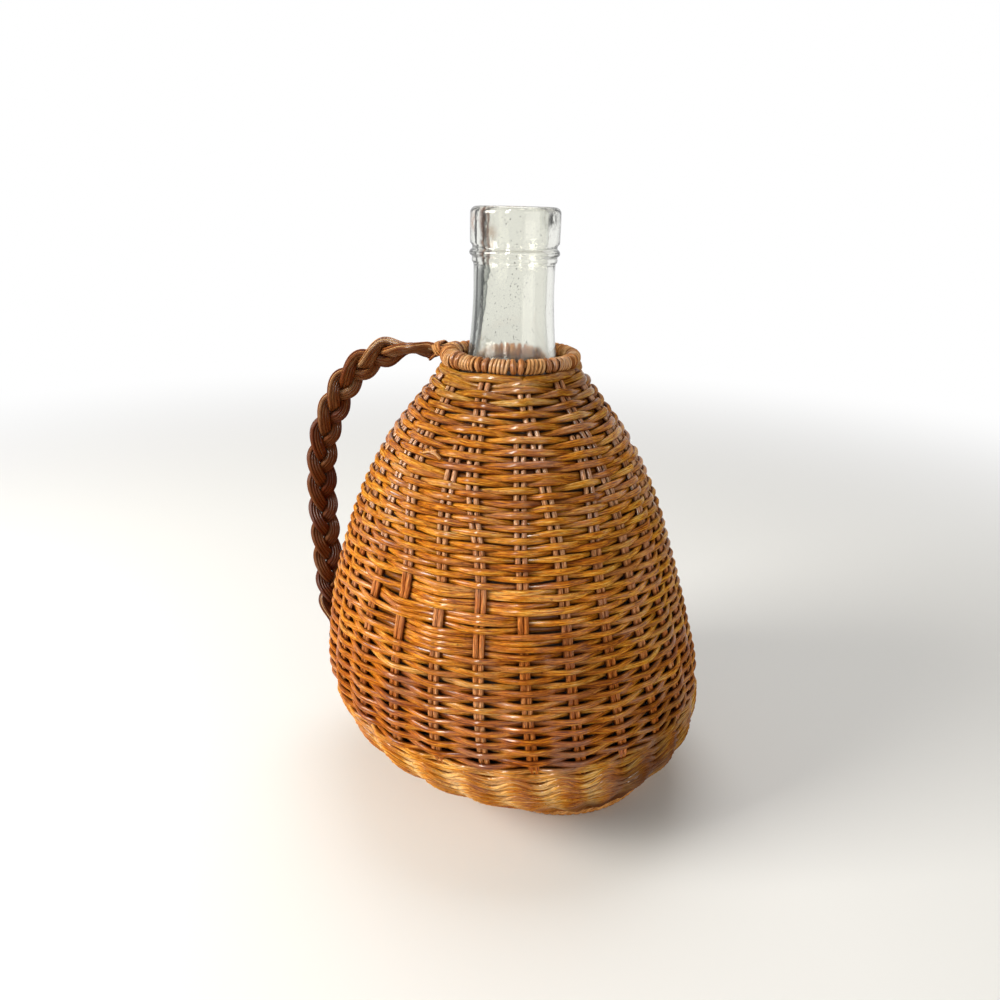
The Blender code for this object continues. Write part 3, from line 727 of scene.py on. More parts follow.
def cane_material(name, tones, regions=(), stains_and_shade=(), gloss=0.27, behind_shade_share=0.70):
    """Make varnished cane: tones that change from rod to rod, streaks along it, dark flecks, painted shade
    where rods pass behind the stakes, and dirt with painted shade on each rod's inner side.
    """
    shader = Shader(name, Coat_Weight=gloss, Coat_Roughness=0.16, Coat_IOR=1.5, Specular_IOR_Level=0.04)
    cane = shader.add("ShaderNodeAttribute", attribute_name="cane", output=1)
    crown = shader.add("ShaderNodeAttribute", attribute_name="crown", output=2)
    own = shader.add("ShaderNodeAttribute", attribute_name="tone", output=2)
    place, axes = shader.place()

    rod = shader.noise(cane, ROD_NOISE, 1.0)
    streak = shader.noise(cane, STREAK_NOISE, *FINE_DETAIL)
    tone = shader.math("ADD", shader.times(rod, ROD_SHARE), shader.times(streak, STREAK_SHARE))
    own = shader.times(shader.math("SUBTRACT", own, 0.5), OWN_SHARE)
    tone = shader.math("ADD", tone, own)
    tint = shader.add("ShaderNodeValToRGB", tone)
    steps = tint.node.color_ramp.elements
    last = len(tones) - 1
    end = FEW_TONES_END if len(tones) <= FEW_TONES else TONE_START + TONE_STEP * last
    steps[0].position, steps[0].color = TONE_START, tones[0]
    steps[1].position, steps[1].color = end, tones[last]
    for index in range(1, last):
        steps.new(TONE_START + (end - TONE_START) * index / last).color = tones[index]
    flush = shader.noise(cane, FLUSH_NOISE, 1.0)
    surface = shader.mix(shader.ramp(flush, *FLUSH_RANGE), tint, blush_color)

    cloud = shader.noise(place, CLOUD_NOISE)
    uneven = shader.ramp(cloud, *CLOUD_RANGE)
    for axis, low, high, shade, amount in regions:
        share = shader.ramp(axes[axis], low, high, 0.0, amount)
        surface = shader.mix(shader.times(share, uneven), surface, shade, "MULTIPLY")
    for centre, radius, shade, amount in stains_and_shade:
        share = shader.spot(place, centre, radius, STAIN_AND_SHADE_CORE, amount)
        surface = shader.mix(shader.times(share, uneven), surface, shade)

    grain = shader.noise(cane, GRAIN_NOISE, *FINE_DETAIL)
    lines = shader.ramp(grain, *GRAIN_RANGE)
    grey = shader.add("ShaderNodeCombineColor", lines, lines, lines)
    surface = shader.mix(1.0, surface, grey, "MULTIPLY")
    fleck = shader.noise(cane, FLECK_NOISE, 1.0)
    surface = shader.mix(shader.ramp(fleck, *FLECK_RANGE), surface, fleck_and_shade_color)
    # Painted shade on rods with a low crown: where rows pass behind the stakes, and on the rod under the
    # rim
    surface = shader.mix(shader.ramp(crown, *BEHIND_SHADE_RANGE, behind_shade_share, 0.0), surface, fleck_and_shade_color)
    # Darker on each rod's inner side: dirt in the crevices between rods, and painted shade there
    lift = shader.add("ShaderNodeSeparateXYZ", cane, output=1)
    surface = shader.mix(shader.ramp(lift, *INNER_DIRT_AND_SHADE_RANGE), surface, fleck_and_shade_color)
    shader.use("Base Color", surface)
    shader.use("Roughness", shader.ramp(streak, *DULL_RANGE))
    grain_share, streak_share = RELIEF_SHARES
    relief = shader.math("ADD", shader.times(grain, grain_share), shader.times(streak, streak_share))
    shader.bump(relief, RELIEF_STRENGTH, RELIEF_DISTANCE)
    pooled = shader.noise(place, VARNISH_NOISE)
    varnish = shader.ramp(pooled, *VARNISH_RANGE, *[gloss * share for share in VARNISH_SHARES])
    shader.use("Coat Weight", shader.times(varnish, shader.ramp(axes["z"], *FOOT_VARNISH_RANGE)))
    return shader.material


# Weave
def row_heights():
    """Give the heights of the plain rows and of the close rows, from the rim down.

    Rows are spaced along the outline: evenly, but for the top ones, which stand up to twice as far
    apart.
    """
    heights = np.linspace(CASING_HEIGHT + FIRST_ROW_RISE, 0.0, OUTLINE_SAMPLES)
    radii = outline(heights)[0]
    run = np.concatenate([[0.0], np.cumsum(np.hypot(np.diff(radii), np.diff(heights)))])
    open_run = np.interp(-OPEN_WEAVE_FOOT, -heights, run)
    foot_run = np.interp(-(BORDER_HEIGHT + WALE_RADIUS), -heights, run)
    rows = np.arange(int(open_run / ROW_PITCH))
    plain = ROW_PITCH * (rows + np.clip((rows - 1) / WIDER_ROWS, 0.0, 1.0))
    plain = plain[plain < open_run]
    close = np.arange(plain[-1] + (ROW_PITCH + WALE_PITCH) / 2, foot_run, WALE_PITCH)
    return np.interp(plain, run, heights), np.interp(close, run, heights)


def weave_side(row, height, patch_row, pair):
    """Tell whether a row passes in front of a stake pair (1) or behind it (-1).

    Rows take turns, but for the second and third, which pass the same sides. Near the rim a row
    passes two pairs at a time, and in the patch three rows pass the same sides.
    """
    if patch_row is not None and pair in PATCH_PAIRS:
        return -1 if (patch_row // PATCH_STEP + pair) % 2 else 1
    if patch_row in PATCH_END_ROWS and pair == PATCH_END_PAIR:
        return -1
    group = (pair + 1) // 2 % (STAKE_PAIRS // 2) if height > GROUP_WEAVE_FOOT else pair
    turn = row + (row > DOUBLED_ROW)
    return 1 if (turn + group) % 2 else -1


def weave_row(row, height, patch_row):
    """Give a plain row's angles, how far out it is at each (1 in front of a stake, -1 behind), and its sag.

    The row starts and ends behind a stake pair at the back, a different one from row to row.
    """
    nudges = rng.normal(size=STAKE_PAIRS) * ROW_NUDGE
    shares = np.arange(ROW_POINTS) / ROW_POINTS
    crossed = (shares - CROSSING_MARGIN) / (1 - 2 * CROSSING_MARGIN)
    crossed = CROSSING_EASED_SHARE * ease(crossed) + (1 - CROSSING_EASED_SHARE) * np.clip(crossed, 0, 1)
    angles, sides, sags = [], [], []
    for pair in range(STAKE_PAIRS):
        following = (pair + 1) % STAKE_PAIRS
        start, end = stake_angle(pair, height), stake_angle(following, height)
        if following == 0:
            end -= FULL_TURN
        leaving = weave_side(row, height, patch_row, pair)
        arriving = weave_side(row, height, patch_row, following)
        angles.append(start + (end - start) * shares)
        sides.append(leaving + (arriving - leaving) * crossed)
        sags.append(nudges[pair] + (nudges[following] - nudges[pair]) * ease(shares))
    seam = STAKE_PAIRS // 2 + (row * SEAM_STEP) % SEAM_PLACES - SEAM_PLACES // 2
    seam += weave_side(row, height, patch_row, seam) > 0
    angles, sides, sags = (
        np.roll(np.concatenate(parts), -seam * ROW_POINTS) for parts in (angles, sides, sags)
    )
    apart = np.abs(np.diff(angles, prepend=math.inf)) > LEAST_STEP
    return angles[apart], sides[apart], sags[apart]


def band_at(height):
    """Name the CAD band that a height lies in."""
    return next(name for name, low, high, slot in bands if low <= height < high)


def weave_plain(bundles, plain):
    """Weave the plain rows, each one a closed rod."""
    patch_start = next(index for index, height in enumerate(plain) if height < PATCH_TOP)
    for row, height in enumerate(plain):
        patch_row = row - patch_start if patch_start <= row < patch_start + PATCH_ROWS else None
        angles, sides, sags = weave_row(row, height, patch_row)
        upper = rise(height, *UPPER_RAMP)
        crown_radius = LOWER_CROWN_RADIUS + (UPPER_CROWN_RADIUS - LOWER_CROWN_RADIUS) * upper
        crown_radius += SHOULDER_GROWTH * rise(height, *SHOULDER_RAMP)
        wide = CROSSING_RADIUS + (crown_radius - CROSSING_RADIUS) * ease(sides)
        thick = CANE_THICKNESS
        if row == 0:
            height, wide, thick = TOP_ROW_HEIGHT, TOP_ROW_RADIUS, TOP_ROW_RADIUS * TOP_ROW_FLATNESS
            sides = TOP_ROW_SIDE + (1 - TOP_ROW_SIDE) * sides
        wide = wide * (1 + ROW_WIDTH_SPREAD * rng.normal() * (row > 0))
        wide = wide * (1 + LEFT_SWELL * (1 - upper) * leftward(angles))
        depth = thick + WEAVE_REACH * (1 - sides) / 2
        sag = TOP_ROW_SAG * math.exp(-row / SAG_ROWS) * leftward(angles)
        heights = height - sag + sags + wobble(angles, ROW_WOBBLE)
        places, outward = skin(angles, heights, depth)
        tone = 0.5 + ROW_TONE_SPREAD * rng.normal()
        bundles[band_at(height)].add(
            places, outward, wide, thick, closed=True, crown=(sides + 1) / 2, tone=tone,
        )


def weave_close(bundles, close):
    """Weave the close rows in waves round the stakes, then the rows that turn in to the border."""
    for row, height in enumerate(close):
        angles = full_circle(STAKE_PAIRS * ROW_POINTS) + math.pi / 2
        turns = STAKE_PAIRS * (angles - FRONT_STAKE_ANGLE)
        wave = (1 - np.cos(turns)) / 2
        grown = rise(height, *WALE_START_RAMP)
        free = rise(height, *WALE_END_RAMP)
        lift = WALE_LIFT * grown * free * (2 * wave - 1)
        depth = WALE_RADIUS + WALE_WAVE * (1 - wave) + WALE_DRIFT * np.cos(turns / 2 + row * math.pi)
        places, outward = skin(angles, height + lift + wobble(angles, WALE_WOBBLE), depth)
        # Painted light and shade: the tone rises on one flank of each wave and falls on the other, and
        # drops on the right, towards SHADED_ANGLE
        tone = WALE_TONE + (WALE_TONE_RISE + WALE_LIT_FLANK * np.sin(turns + WALE_LIT_FLANK_PHASE)) * grown
        tone = tone - WALE_SHADE * grown * np.clip(np.cos(angles - SHADED_ANGLE), 0, 1)**2
        bundles[band_at(height)].add(
            places, outward, WALE_RADIUS, WALE_RADIUS, closed=True,
            crown=WALE_CROWN + (1 - WALE_CROWN) * wave, tone=tone,
        )
    angles = full_circle(TURN_ROW_POINTS)
    lowest, outward = skin(angles, np.full(TURN_ROW_POINTS, close[-1]), WALE_RADIUS + WALE_WAVE / 2)
    radius = outline(BORDER_MIDDLE)[0] - BORDER_INSET + TURN_ROW_REACH
    under = circle(radius, BORDER_MIDDLE + TURN_ROW_RISE, angles, lean(BORDER_MIDDLE)[0])
    for share in turn_row_shares:
        places = lowest + (under - lowest) * share
        bundles["foot_wale"].add(
            places, outward, WALE_RADIUS, WALE_RADIUS, closed=True, crown=0.5, tone=0.6,
        )


def weave(material):
    """Weave the casing's wall with a rod under the rim and a splice, and gather the rods by band."""
    bundles = {name: Bundle() for name, low, high, slot in bands}
    plain, close = row_heights()
    weave_plain(bundles, plain)
    weave_close(bundles, close)
    angles = full_circle(RING_POINTS)
    places = circle(COLLAR_RADIUS, COLLAR_HEIGHT - COLLAR_SAG * leftward(angles), angles)
    outward = circle(1.0, 0.0, angles)
    # The rod under the rim takes a low crown and a low tone: painted shade under the rim
    bundles["shoulder_weave"].add(places, outward, *COLLAR_ROD, closed=True, crown=0.08, tone=0.30)
    for start, end, low, high in splice_ends:
        shares = np.linspace(0, 1, SPLICE_POINTS)
        angles = SPLICE_ANGLE + (start + (end - start) * shares) / outline(SPLICE_HEIGHT)[0]
        heights = SPLICE_HEIGHT + low + (high - low) * shares
        places, outward = skin(angles, heights, SPLICE_DEPTH)
        bundles["upper_weave"].add(places, outward, *SPLICE_ROD, tone=0.7)
    for name, low, high, slot in bands:
        bundles[name].build("cane_" + name, material, slot, name)


def stakes(material):
    """Stand two rods side by side in place of each stake pair."""
    bundle = Bundle()
    for pair in range(STAKE_PAIRS):
        top = CASING_HEIGHT - STAKE_MARGIN if pair % 2 else SHORT_STAKE_SHARE * CASING_HEIGHT
        heights = np.linspace(BORDER_HEIGHT + STAKE_MARGIN, top, STAKE_POINTS)
        angles = stake_angle(pair, heights)
        places, outward = skin(angles, heights, STAKE_DEPTH + STAKE_SINK * rise(heights, *STAKE_SINK_RAMP))
        beside = circle(1.0, 0.0, angles + math.pi / 2)
        wider = (STAKE_PITCH_HIGH - STAKE_PITCH_LOW) * rise(heights, *STAKE_PITCH_RAMP)
        for side in (-1, 1):
            sway = STAKE_SWAY * np.sin(heights * STAKE_SWAY_RATE + pair * STAKE_SWAY_STEP + side)
            shift = beside * (side * (STAKE_PITCH_LOW + wider) / 2 + sway)[:, None]
            bundle.add(places + shift, outward, STAKE_RADIUS, STAKE_RADIUS)
    nodes = ["stake_pair_%02d" % (pair + 1) for pair in range(STAKE_PAIRS)]
    bundle.build("cane_stakes", material, "stake_cane", *nodes)


def border(material):
    """Twist the foot's border from three rods, with two flat rounds beside it."""
    bundle = Bundle()
    angles = full_circle(STAKE_PAIRS * BORDER_POINTS)
    centre = lean(BORDER_MIDDLE)[0]
    edge = outline(BORDER_MIDDLE)[0]
    for rod in range(BORDER_RODS):
        phase = FULL_TURN * rod / BORDER_RODS + STAKE_PAIRS * angles
        radius = edge - BORDER_INSET + BORDER_TWIST * np.cos(phase)
        places = circle(radius, BORDER_MIDDLE + BORDER_TWIST * np.sin(phase), angles, centre)
        bundle.add(places, circle(1.0, 0.0, angles), BORDER_ROD_RADIUS, BORDER_ROD_RADIUS, closed=True)
    for inset in border_round_insets:
        places = circle(edge - inset, BORDER_MIDDLE, angles, centre)
        bundle.add(places, UP, BORDER_ROUND_WIDTH, BORDER_ROUND_REACH, closed=True, crown=0.5)
    bundle.build("cane_border", material, "foot_cane", "foot_border")


def base(material):
    """Weave the underside: spokes, rounds that run over and under them, and crossed sticks."""
    bundle = Bundle()
    centre = lean(BASE_LEVEL)[0]
    for spoke in range(STAKE_PAIRS):
        angles = np.full(len(base_spoke_radii), FRONT_STAKE_ANGLE - spoke * STAKE_STEP)
        bundle.add(circle(base_spoke_radii, BASE_MIDDLE, angles, centre), UP, *BASE_SPOKE, crown=0.6)
    angles = full_circle(STAKE_PAIRS * BASE_ROUND_POINTS)
    for row, radius in enumerate(base_round_radii):
        wave = np.cos(STAKE_PAIRS / 2 * (angles - FRONT_STAKE_ANGLE) + row * math.pi)
        places = circle(radius, BASE_MIDDLE + BASE_WAVE * wave, angles, centre)
        bundle.add(places, UP, *BASE_ROUND, closed=True)
    for layer in (-1, 1):
        for shift in base_stick_shifts:
            x, y = (base_stick_reaches, shift) if layer < 0 else (shift, base_stick_reaches)
            places = np.broadcast_arrays(centre + x, y, BASE_MIDDLE + BASE_LAYER_RISE * layer)
            bundle.add(np.stack(places, axis=1), UP, *BASE_STICK)
    bundle.build("cane_base", material, "base_cane", "base_weave")


# Rim
def ring_path(angle, turns, radius, slant):
    """Give points on a loop round the rim's core, at an angle round the neck."""
    angles = angle + slant * np.sin(turns)
    places = circle(RIM_RADIUS + radius * np.cos(turns), RIM_HEIGHT + radius * np.sin(turns), angles)
    return places, circle(np.cos(turns), np.sin(turns), angles)


def mound(angle):
    """Give how much the wraps swell over the handle's start, from 0 to 1."""
    apart = (angle - MOUND_ANGLE + math.pi) % FULL_TURN - math.pi
    return 1 - ease(abs(apart) / MOUND_SPAN)


def rim(material):
    """Wrap the rim: pairs of stake ends curled over the core, and narrow cane between them."""
    core = Bundle()
    places = circle(RIM_RADIUS, RIM_HEIGHT, full_circle(RING_POINTS))
    core.add(places, UP, RIM_CORE_RADIUS, RIM_CORE_RADIUS, closed=True, crown=0.3, sides=RIM_SIDES)
    core.build("cane_rim_core", material, "rim_cane", "rim_core")

    wraps = Bundle()
    groups = [stake_angle(pair, CASING_HEIGHT) % FULL_TURN + CURL_TURN for pair in range(1, STAKE_PAIRS, 2)]
    groups.sort()
    turns = np.linspace(math.pi, 3 * math.pi, WRAP_POINTS, endpoint=False)
    half = CURL_HALF_SPAN / RIM_RADIUS
    for group, following in zip(groups, groups[1:] + [groups[0] + FULL_TURN]):
        for side in (-1, 1):
            angle = group + side * CURL_OFFSET / RIM_RADIUS
            distance = CURL_DISTANCE + CURL_SWELL * mound(angle)
            path, outward = ring_path(angle, curl_arc, distance, CURL_SLANT * side)
            wraps.add(path, outward, *CURL_ROD, tone=0.25, sides=RIM_SIDES)
        start, end = group + half, following - half
        count = round((end - start) * RIM_RADIUS / WRAP_PITCH)
        wide = (end - start) * (RIM_RADIUS + WRAP_EDGE) / count / 2
        for wrap in range(count):
            angle = start + (end - start) * (wrap + 0.5) / count
            swell = mound(angle)
            slant = WRAP_SLANT + WRAP_SLANT_SPREAD * rng.normal()
            path, outward = ring_path(angle, turns, WRAP_DISTANCE + WRAP_SWELL * swell, slant)
            path = path - np.array([0, 0, WRAP_DROP * swell])
            tone = 0.6 + WRAP_TONE_SPREAD * rng.normal()
            wraps.add(path, outward, wide, WRAP_THICKNESS, closed=True, tone=tone)
    wraps.build("cane_rim_wrap", material, "rim_cane", "rim_wrap")


# Handle
def handle_side(height, depth=0.0):
    """Give how far out the casing's surface is, or a depth inside it, where the handle runs down."""
    offset = lean(height)[0]
    across = offset * math.sin(HANDLE_ANGLE)
    return offset * math.cos(HANDLE_ANGLE) + np.sqrt(inset_radius(height, depth)**2 - across**2)


def from_handle(out, up, across=0.0):
    """Give points, or directions, by how far out, up and across the handle's plane they are."""
    return np.stack(np.broadcast_arrays(out, up, across), axis=-1) @ handle_axes


def handle_route():
    """Give the handle's middle line as points (outward, up), and its knots by distance."""
    heights = np.linspace(HANDLE_FOOT_HEIGHT, ROUTE_TOP_SHARE * CASING_HEIGHT, ROUTE_LEVELS)
    reach = handle_side(heights).max() + ROUTE_CLEARANCE
    route = [(RIM_RADIUS, RIM_HEIGHT + HOOK_DISTANCE)]
    for out_share, up_share in handle_route_shares:
        route.append((RIM_RADIUS + out_share * (reach - RIM_RADIUS), up_share * RIM_HEIGHT))
    foot = handle_side(HANDLE_FOOT_HEIGHT, WEAVER_DIAMETER / 2)
    route.append(((route[-1][0] + foot) / 2, HANDLE_FOOT_HEIGHT + FOOT_TURN_HEIGHT))
    route.append((foot, HANDLE_FOOT_HEIGHT))
    route = np.array(route)
    knots = np.concatenate([[0.0], np.cumsum(np.linalg.norm(np.diff(route, axis=0), axis=1))])
    return knots, route


def steady(share):
    """Run from 0 to 1 at a steady rate, with a soft start and stop."""
    share = np.clip(share, 0.0, 1.0)
    soft = 2 * EASE_SHARE * (1 - EASE_SHARE)
    middle = (share - EASE_SHARE / 2) / (1 - EASE_SHARE)
    stopping = np.where(share > 1 - EASE_SHARE, 1 - (1 - share)**2 / soft, middle)
    return np.where(share < EASE_SHARE, share**2 / soft, stopping)


def strand(index, knots, route):
    """Give a strand's middle line, the direction out of the plait's flat side, and its radius."""
    side = (0, 1, -1)[index]
    hook_out = math.sqrt(RIM_RADIUS**2 - (side * HEAD_PITCH)**2) - RIM_RADIUS
    length = knots[-1]
    distance = np.linspace(0.0, length, STRAND_POINTS)
    middle, slope = hermite(knots, route, distance)
    along = unit(slope)
    left = length - distance
    head = ease((distance - HEAD_RUN) / RAMP_RUN)
    plaited = head * ease((left - FOOT_RUN) / RAMP_RUN)
    tilt = HEAD_TILT * rise(distance, *HEAD_TILT_RAMP)
    tilt = tilt + (PLAIT_TILT - HEAD_TILT) * ease((distance - HEAD_RUN) / TILT_RUN)
    tilt = tilt * ease((left - FOOT_RUN - RAMP_RUN) / TILT_RUN)
    turned = steady((distance - HEAD_RUN - RAMP_RUN) / (length - HEAD_RUN - FOOT_RUN - 2 * RAMP_RUN))
    phase = FULL_TURN * (PLAIT_TURNS * turned + index / STRANDS)
    radius = STRAND_HEAD_RADIUS + (STRAND_RADIUS - STRAND_HEAD_RADIUS) * head
    radius = radius - (STRAND_RADIUS - STRAND_FOOT_RADIUS) * (1 - ease(left / (FOOT_RUN + RAMP_RUN)))
    beside = side * (2 * radius + WINDING_GAP)
    across = plaited * PLAIT_HALF_WIDTH * np.sin(phase) + (1 - plaited) * beside
    outside = plaited * PLAIT_HALF_DEPTH * np.sin(2 * phase)
    sideways = across * np.cos(tilt) - outside * np.sin(tilt)
    away = across * np.sin(tilt) + outside * np.cos(tilt)
    out = middle[:, 0] + hook_out * (1 - head) - away * along[:, 1]
    up = middle[:, 1] + away * along[:, 0]
    flat = np.cos(tilt)
    turns = math.pi - math.pi / 2 * np.arange(HOOK_POINTS) / HOOK_POINTS
    hook_out = RIM_RADIUS + hook_out + HOOK_DISTANCE * np.cos(turns)
    hook = from_handle(hook_out, RIM_HEIGHT + HOOK_DISTANCE * np.sin(turns), side * HEAD_PITCH)
    places = np.concatenate([hook, from_handle(out, up, sideways)])
    normal = np.concatenate([
        from_handle(np.cos(turns), np.sin(turns)),
        from_handle(-along[:, 1] * flat, along[:, 0] * flat, -np.sin(tilt)),
    ])
    radius = np.concatenate([np.full(HOOK_POINTS, STRAND_HEAD_RADIUS), radius])
    return places, normal, radius


def plait(material, knots, route):
    """Plait the handle from three strands of eight reeds each."""
    wide_share, thick_share = REED_SHARES
    for index in range(STRANDS):
        places, normal, radius = strand(index, knots, route)
        tangent = unit(np.gradient(places, axis=0))
        normal = square_to(normal, tangent)
        beside = np.cross(tangent, normal)
        bundle = Bundle()
        for across, outside in strand_reeds:
            shift = beside * (across * REED_PITCH_SHARE * radius)[:, None]
            shift = shift + normal * (outside * REED_LAYER_SHARE * radius)[:, None]
            tone = 0.5 + REED_TONE_SPREAD * rng.normal()
            bundle.add(places + shift, normal, radius * wide_share, radius * thick_share, tone=tone)
        number = str(index + 1)
        bundle.build("reeds_handle_" + number, material, "handle_cane", "handle_strand_" + number)


def lash(material, knots, route):
    """Wind cane over the handle's start, with its loose ends."""
    lashing = Bundle()
    turns = full_circle(LASHING_POINTS)
    for distance in lashing_distances:
        (middle,), (slope,) = hermite(knots, route, np.array([distance]))
        along = unit(slope)
        corner = np.sign(np.cos(turns)) * (np.abs(np.cos(turns)) > LASHING_CORNER)
        across = corner * HEAD_PITCH + LASHING_REACH * np.cos(turns)
        away = LASHING_DEPTH * np.sin(turns)
        slant = LASHING_SLANT * np.sin(turns + LASHING_PHASE)
        out, up = middle[0] - away * along[1] + slant, middle[1] + away * along[0]
        outward = from_handle(0.0, np.sin(turns), np.cos(turns))
        lashing.add(from_handle(out, up, across), outward, *LASHING_ROD, closed=True)
    shares = np.linspace(0, 1, LASHING_END_POINTS)
    for across, run, drop, tone in lashing_ends:
        out = RIM_RADIUS + LASHING_END_START + run * shares
        up = RIM_HEIGHT + LASHING_END_RISE + drop * shares
        lashing.add(from_handle(out, up, across), UP, *LASHING_END_ROD, tone=tone)
    lashing.build("cane_lashing", material, "rim_cane", "handle_lashing")


def handle(material):
    """Plait the handle, and lash its start to the rim."""
    knots, route = handle_route()
    plait(material, knots, route)
    lash(material, knots, route)


# Glass
def arc_points(centre, radius, start, end, steps):
    """Give points (radius, height) on an arc of a profile."""
    turns = np.radians(np.linspace(start, end, steps))
    return [(centre[0] + radius * math.cos(turn), centre[1] + radius * math.sin(turn)) for turn in turns]


def glass_profile():
    """Give the bottle's profile as (radius, height): outside from the foot up, then inside down."""
    heel_top = GLASS_FOOT + HEEL_RADIUS * (1 - math.cos(math.radians(HEEL_TURN)))
    heel = inset_radius(heel_top, CASING_WALL) - HEEL_RADIUS * math.sin(math.radians(HEEL_TURN))
    body = np.linspace(heel_top, CASING_HEIGHT, GLASS_LEVELS)[1:]
    neck = np.linspace(NECK_START, neck_outline[-1, 1], NECK_LEVELS)
    profile = [*foot_outline, (heel - FOOT_EDGE[0], FOOT_EDGE[1])]
    profile += arc_points((heel, GLASS_FOOT + HEEL_RADIUS), HEEL_RADIUS, -90, -HEEL_TURN, HEEL_STEPS)
    profile += zip(inset_radius(body, CASING_WALL), body)
    profile += zip(hermite(neck_outline[:, 1], neck_outline[:, 0], neck)[0], neck)
    profile += [*neck_ring_foot, *arc_points(*NECK_RING_ARC), *neck_ring_top]
    profile += [*arc_points(*LIP_ARC), *arc_points(*LIP_INNER_ARC), *neck_inside]
    inner = body[body < BODY_INNER_TOP][::-1]
    profile += zip(inset_radius(inner, CASING_WALL + GLASS_WALL), inner)
    middle = (heel - HEEL_INNER_INSET, GLASS_FOOT + HEEL_RADIUS)
    profile += arc_points(middle, HEEL_INNER_RADIUS, -HEEL_TURN, -90, HEEL_INNER_STEPS)
    return np.array([*profile, (heel - FOOT_INNER_EDGE[0], FOOT_INNER_EDGE[1]), *foot_inside])


def glass(material):
    """Turn the bottle from its profile, round the casing's leaning centre line."""
    profile = glass_profile()
    offsets = lean(profile[:, 1])[0]
    angles = full_circle(GLASS_SEGMENTS)
    rings = [circle(*profile[index], angles, offsets[index]) for index in range(1, len(profile) - 1)]
    poles = [(offsets[end], 0.0, profile[end, 1]) for end in (0, -1)]
    faces = tube_faces(len(rings), GLASS_SEGMENTS).tolist()
    pole = len(rings) * GLASS_SEGMENTS
    top = pole - GLASS_SEGMENTS
    for index in range(GLASS_SEGMENTS):
        right = (index + 1) % GLASS_SEGMENTS
        faces += [[pole, right, index], [top + index, top + right, pole + 1]]
    mesh = bpy.data.meshes.new("glass_body")
    mesh.from_pydata(np.concatenate([*rings, poles]).tolist(), [], faces)
    mesh.shade_smooth()
    add_piece("glass_body", mesh, material, "clear_glass", "glass_bottle")


# Glass material: most ranges are of heights or of angles round the bottle
PAINTED_EDGE_RANGE = (0.55, 0.95, 0.0, 0.92)
BODY_SHADE_RANGE = (0.2125, 0.2050)
SPECK_NOISE = (1300.0, 1300.0, 1100.0)
SPECK_RANGE = (0.798, 0.812, 0.0, 0.8)
BLOT_NOISE = (300.0, 300.0, 220.0)
BLOT_RANGE = (0.40, 0.56, 0.0)
GLASS_STAIN_CORE = 0.2
STREAK_ANGLE = math.radians(-131.0)
STREAK_RANGE = (0.2500, 0.2140, STREAK_ANGLE, STREAK_ANGLE - 0.32)
STREAK_SWAY = 0.30
STREAK_EDGES = ((-0.05, 0.02), (0.16, 0.05))
STREAK_BLOT_RANGE = (0.30, 0.50, 0.65, 1.0)
STREAK_LIP_RANGE = (0.2490, 0.2520)
VEIL_EDGES = ((0.00, 0.06, 0.0, 0.80), (0.80, 0.50))
VEIL_RANGE = (0.2520, 0.2460)
WORN_RANGE = (0.2230, 0.2130, 0.015, 0.15)
BODY_WORN_RANGE = (0.2120, 0.2040, 0.0, 0.50)
WAVE_NOISE = (70.0, 70.0, 14.0)
RIPPLE_NOISE = (330.0, 330.0, 330.0)
LIP_RIPPLE_RANGE = (0.2440, 0.2520)
LIP_RIPPLE = 0.34
FOOT_RIPPLE_RANGE = (0.2210, 0.2140)
FOOT_RIPPLE = 0.22
GLASS_RELIEF = (0.16, 0.0012)

# Stains in the glass: centre, radius, colour and amount
glass_stains = (
    ((-0.0165, -0.0085, 0.2665), 0.0060, color(150, 88, 44), 0.90),
    ((-0.0100, -0.0160, 0.2620), 0.0050, color(168, 124, 84), 0.70),
    ((0.0150, -0.0114, 0.2676), 0.0068, color(18, 18, 16), 1.00),
    ((0.0105, -0.0150, 0.2150), 0.0040, color(120, 96, 70), 0.85),
    ((-0.0120, -0.0150, 0.2160), 0.0075, color(190, 186, 172), 0.80),
)


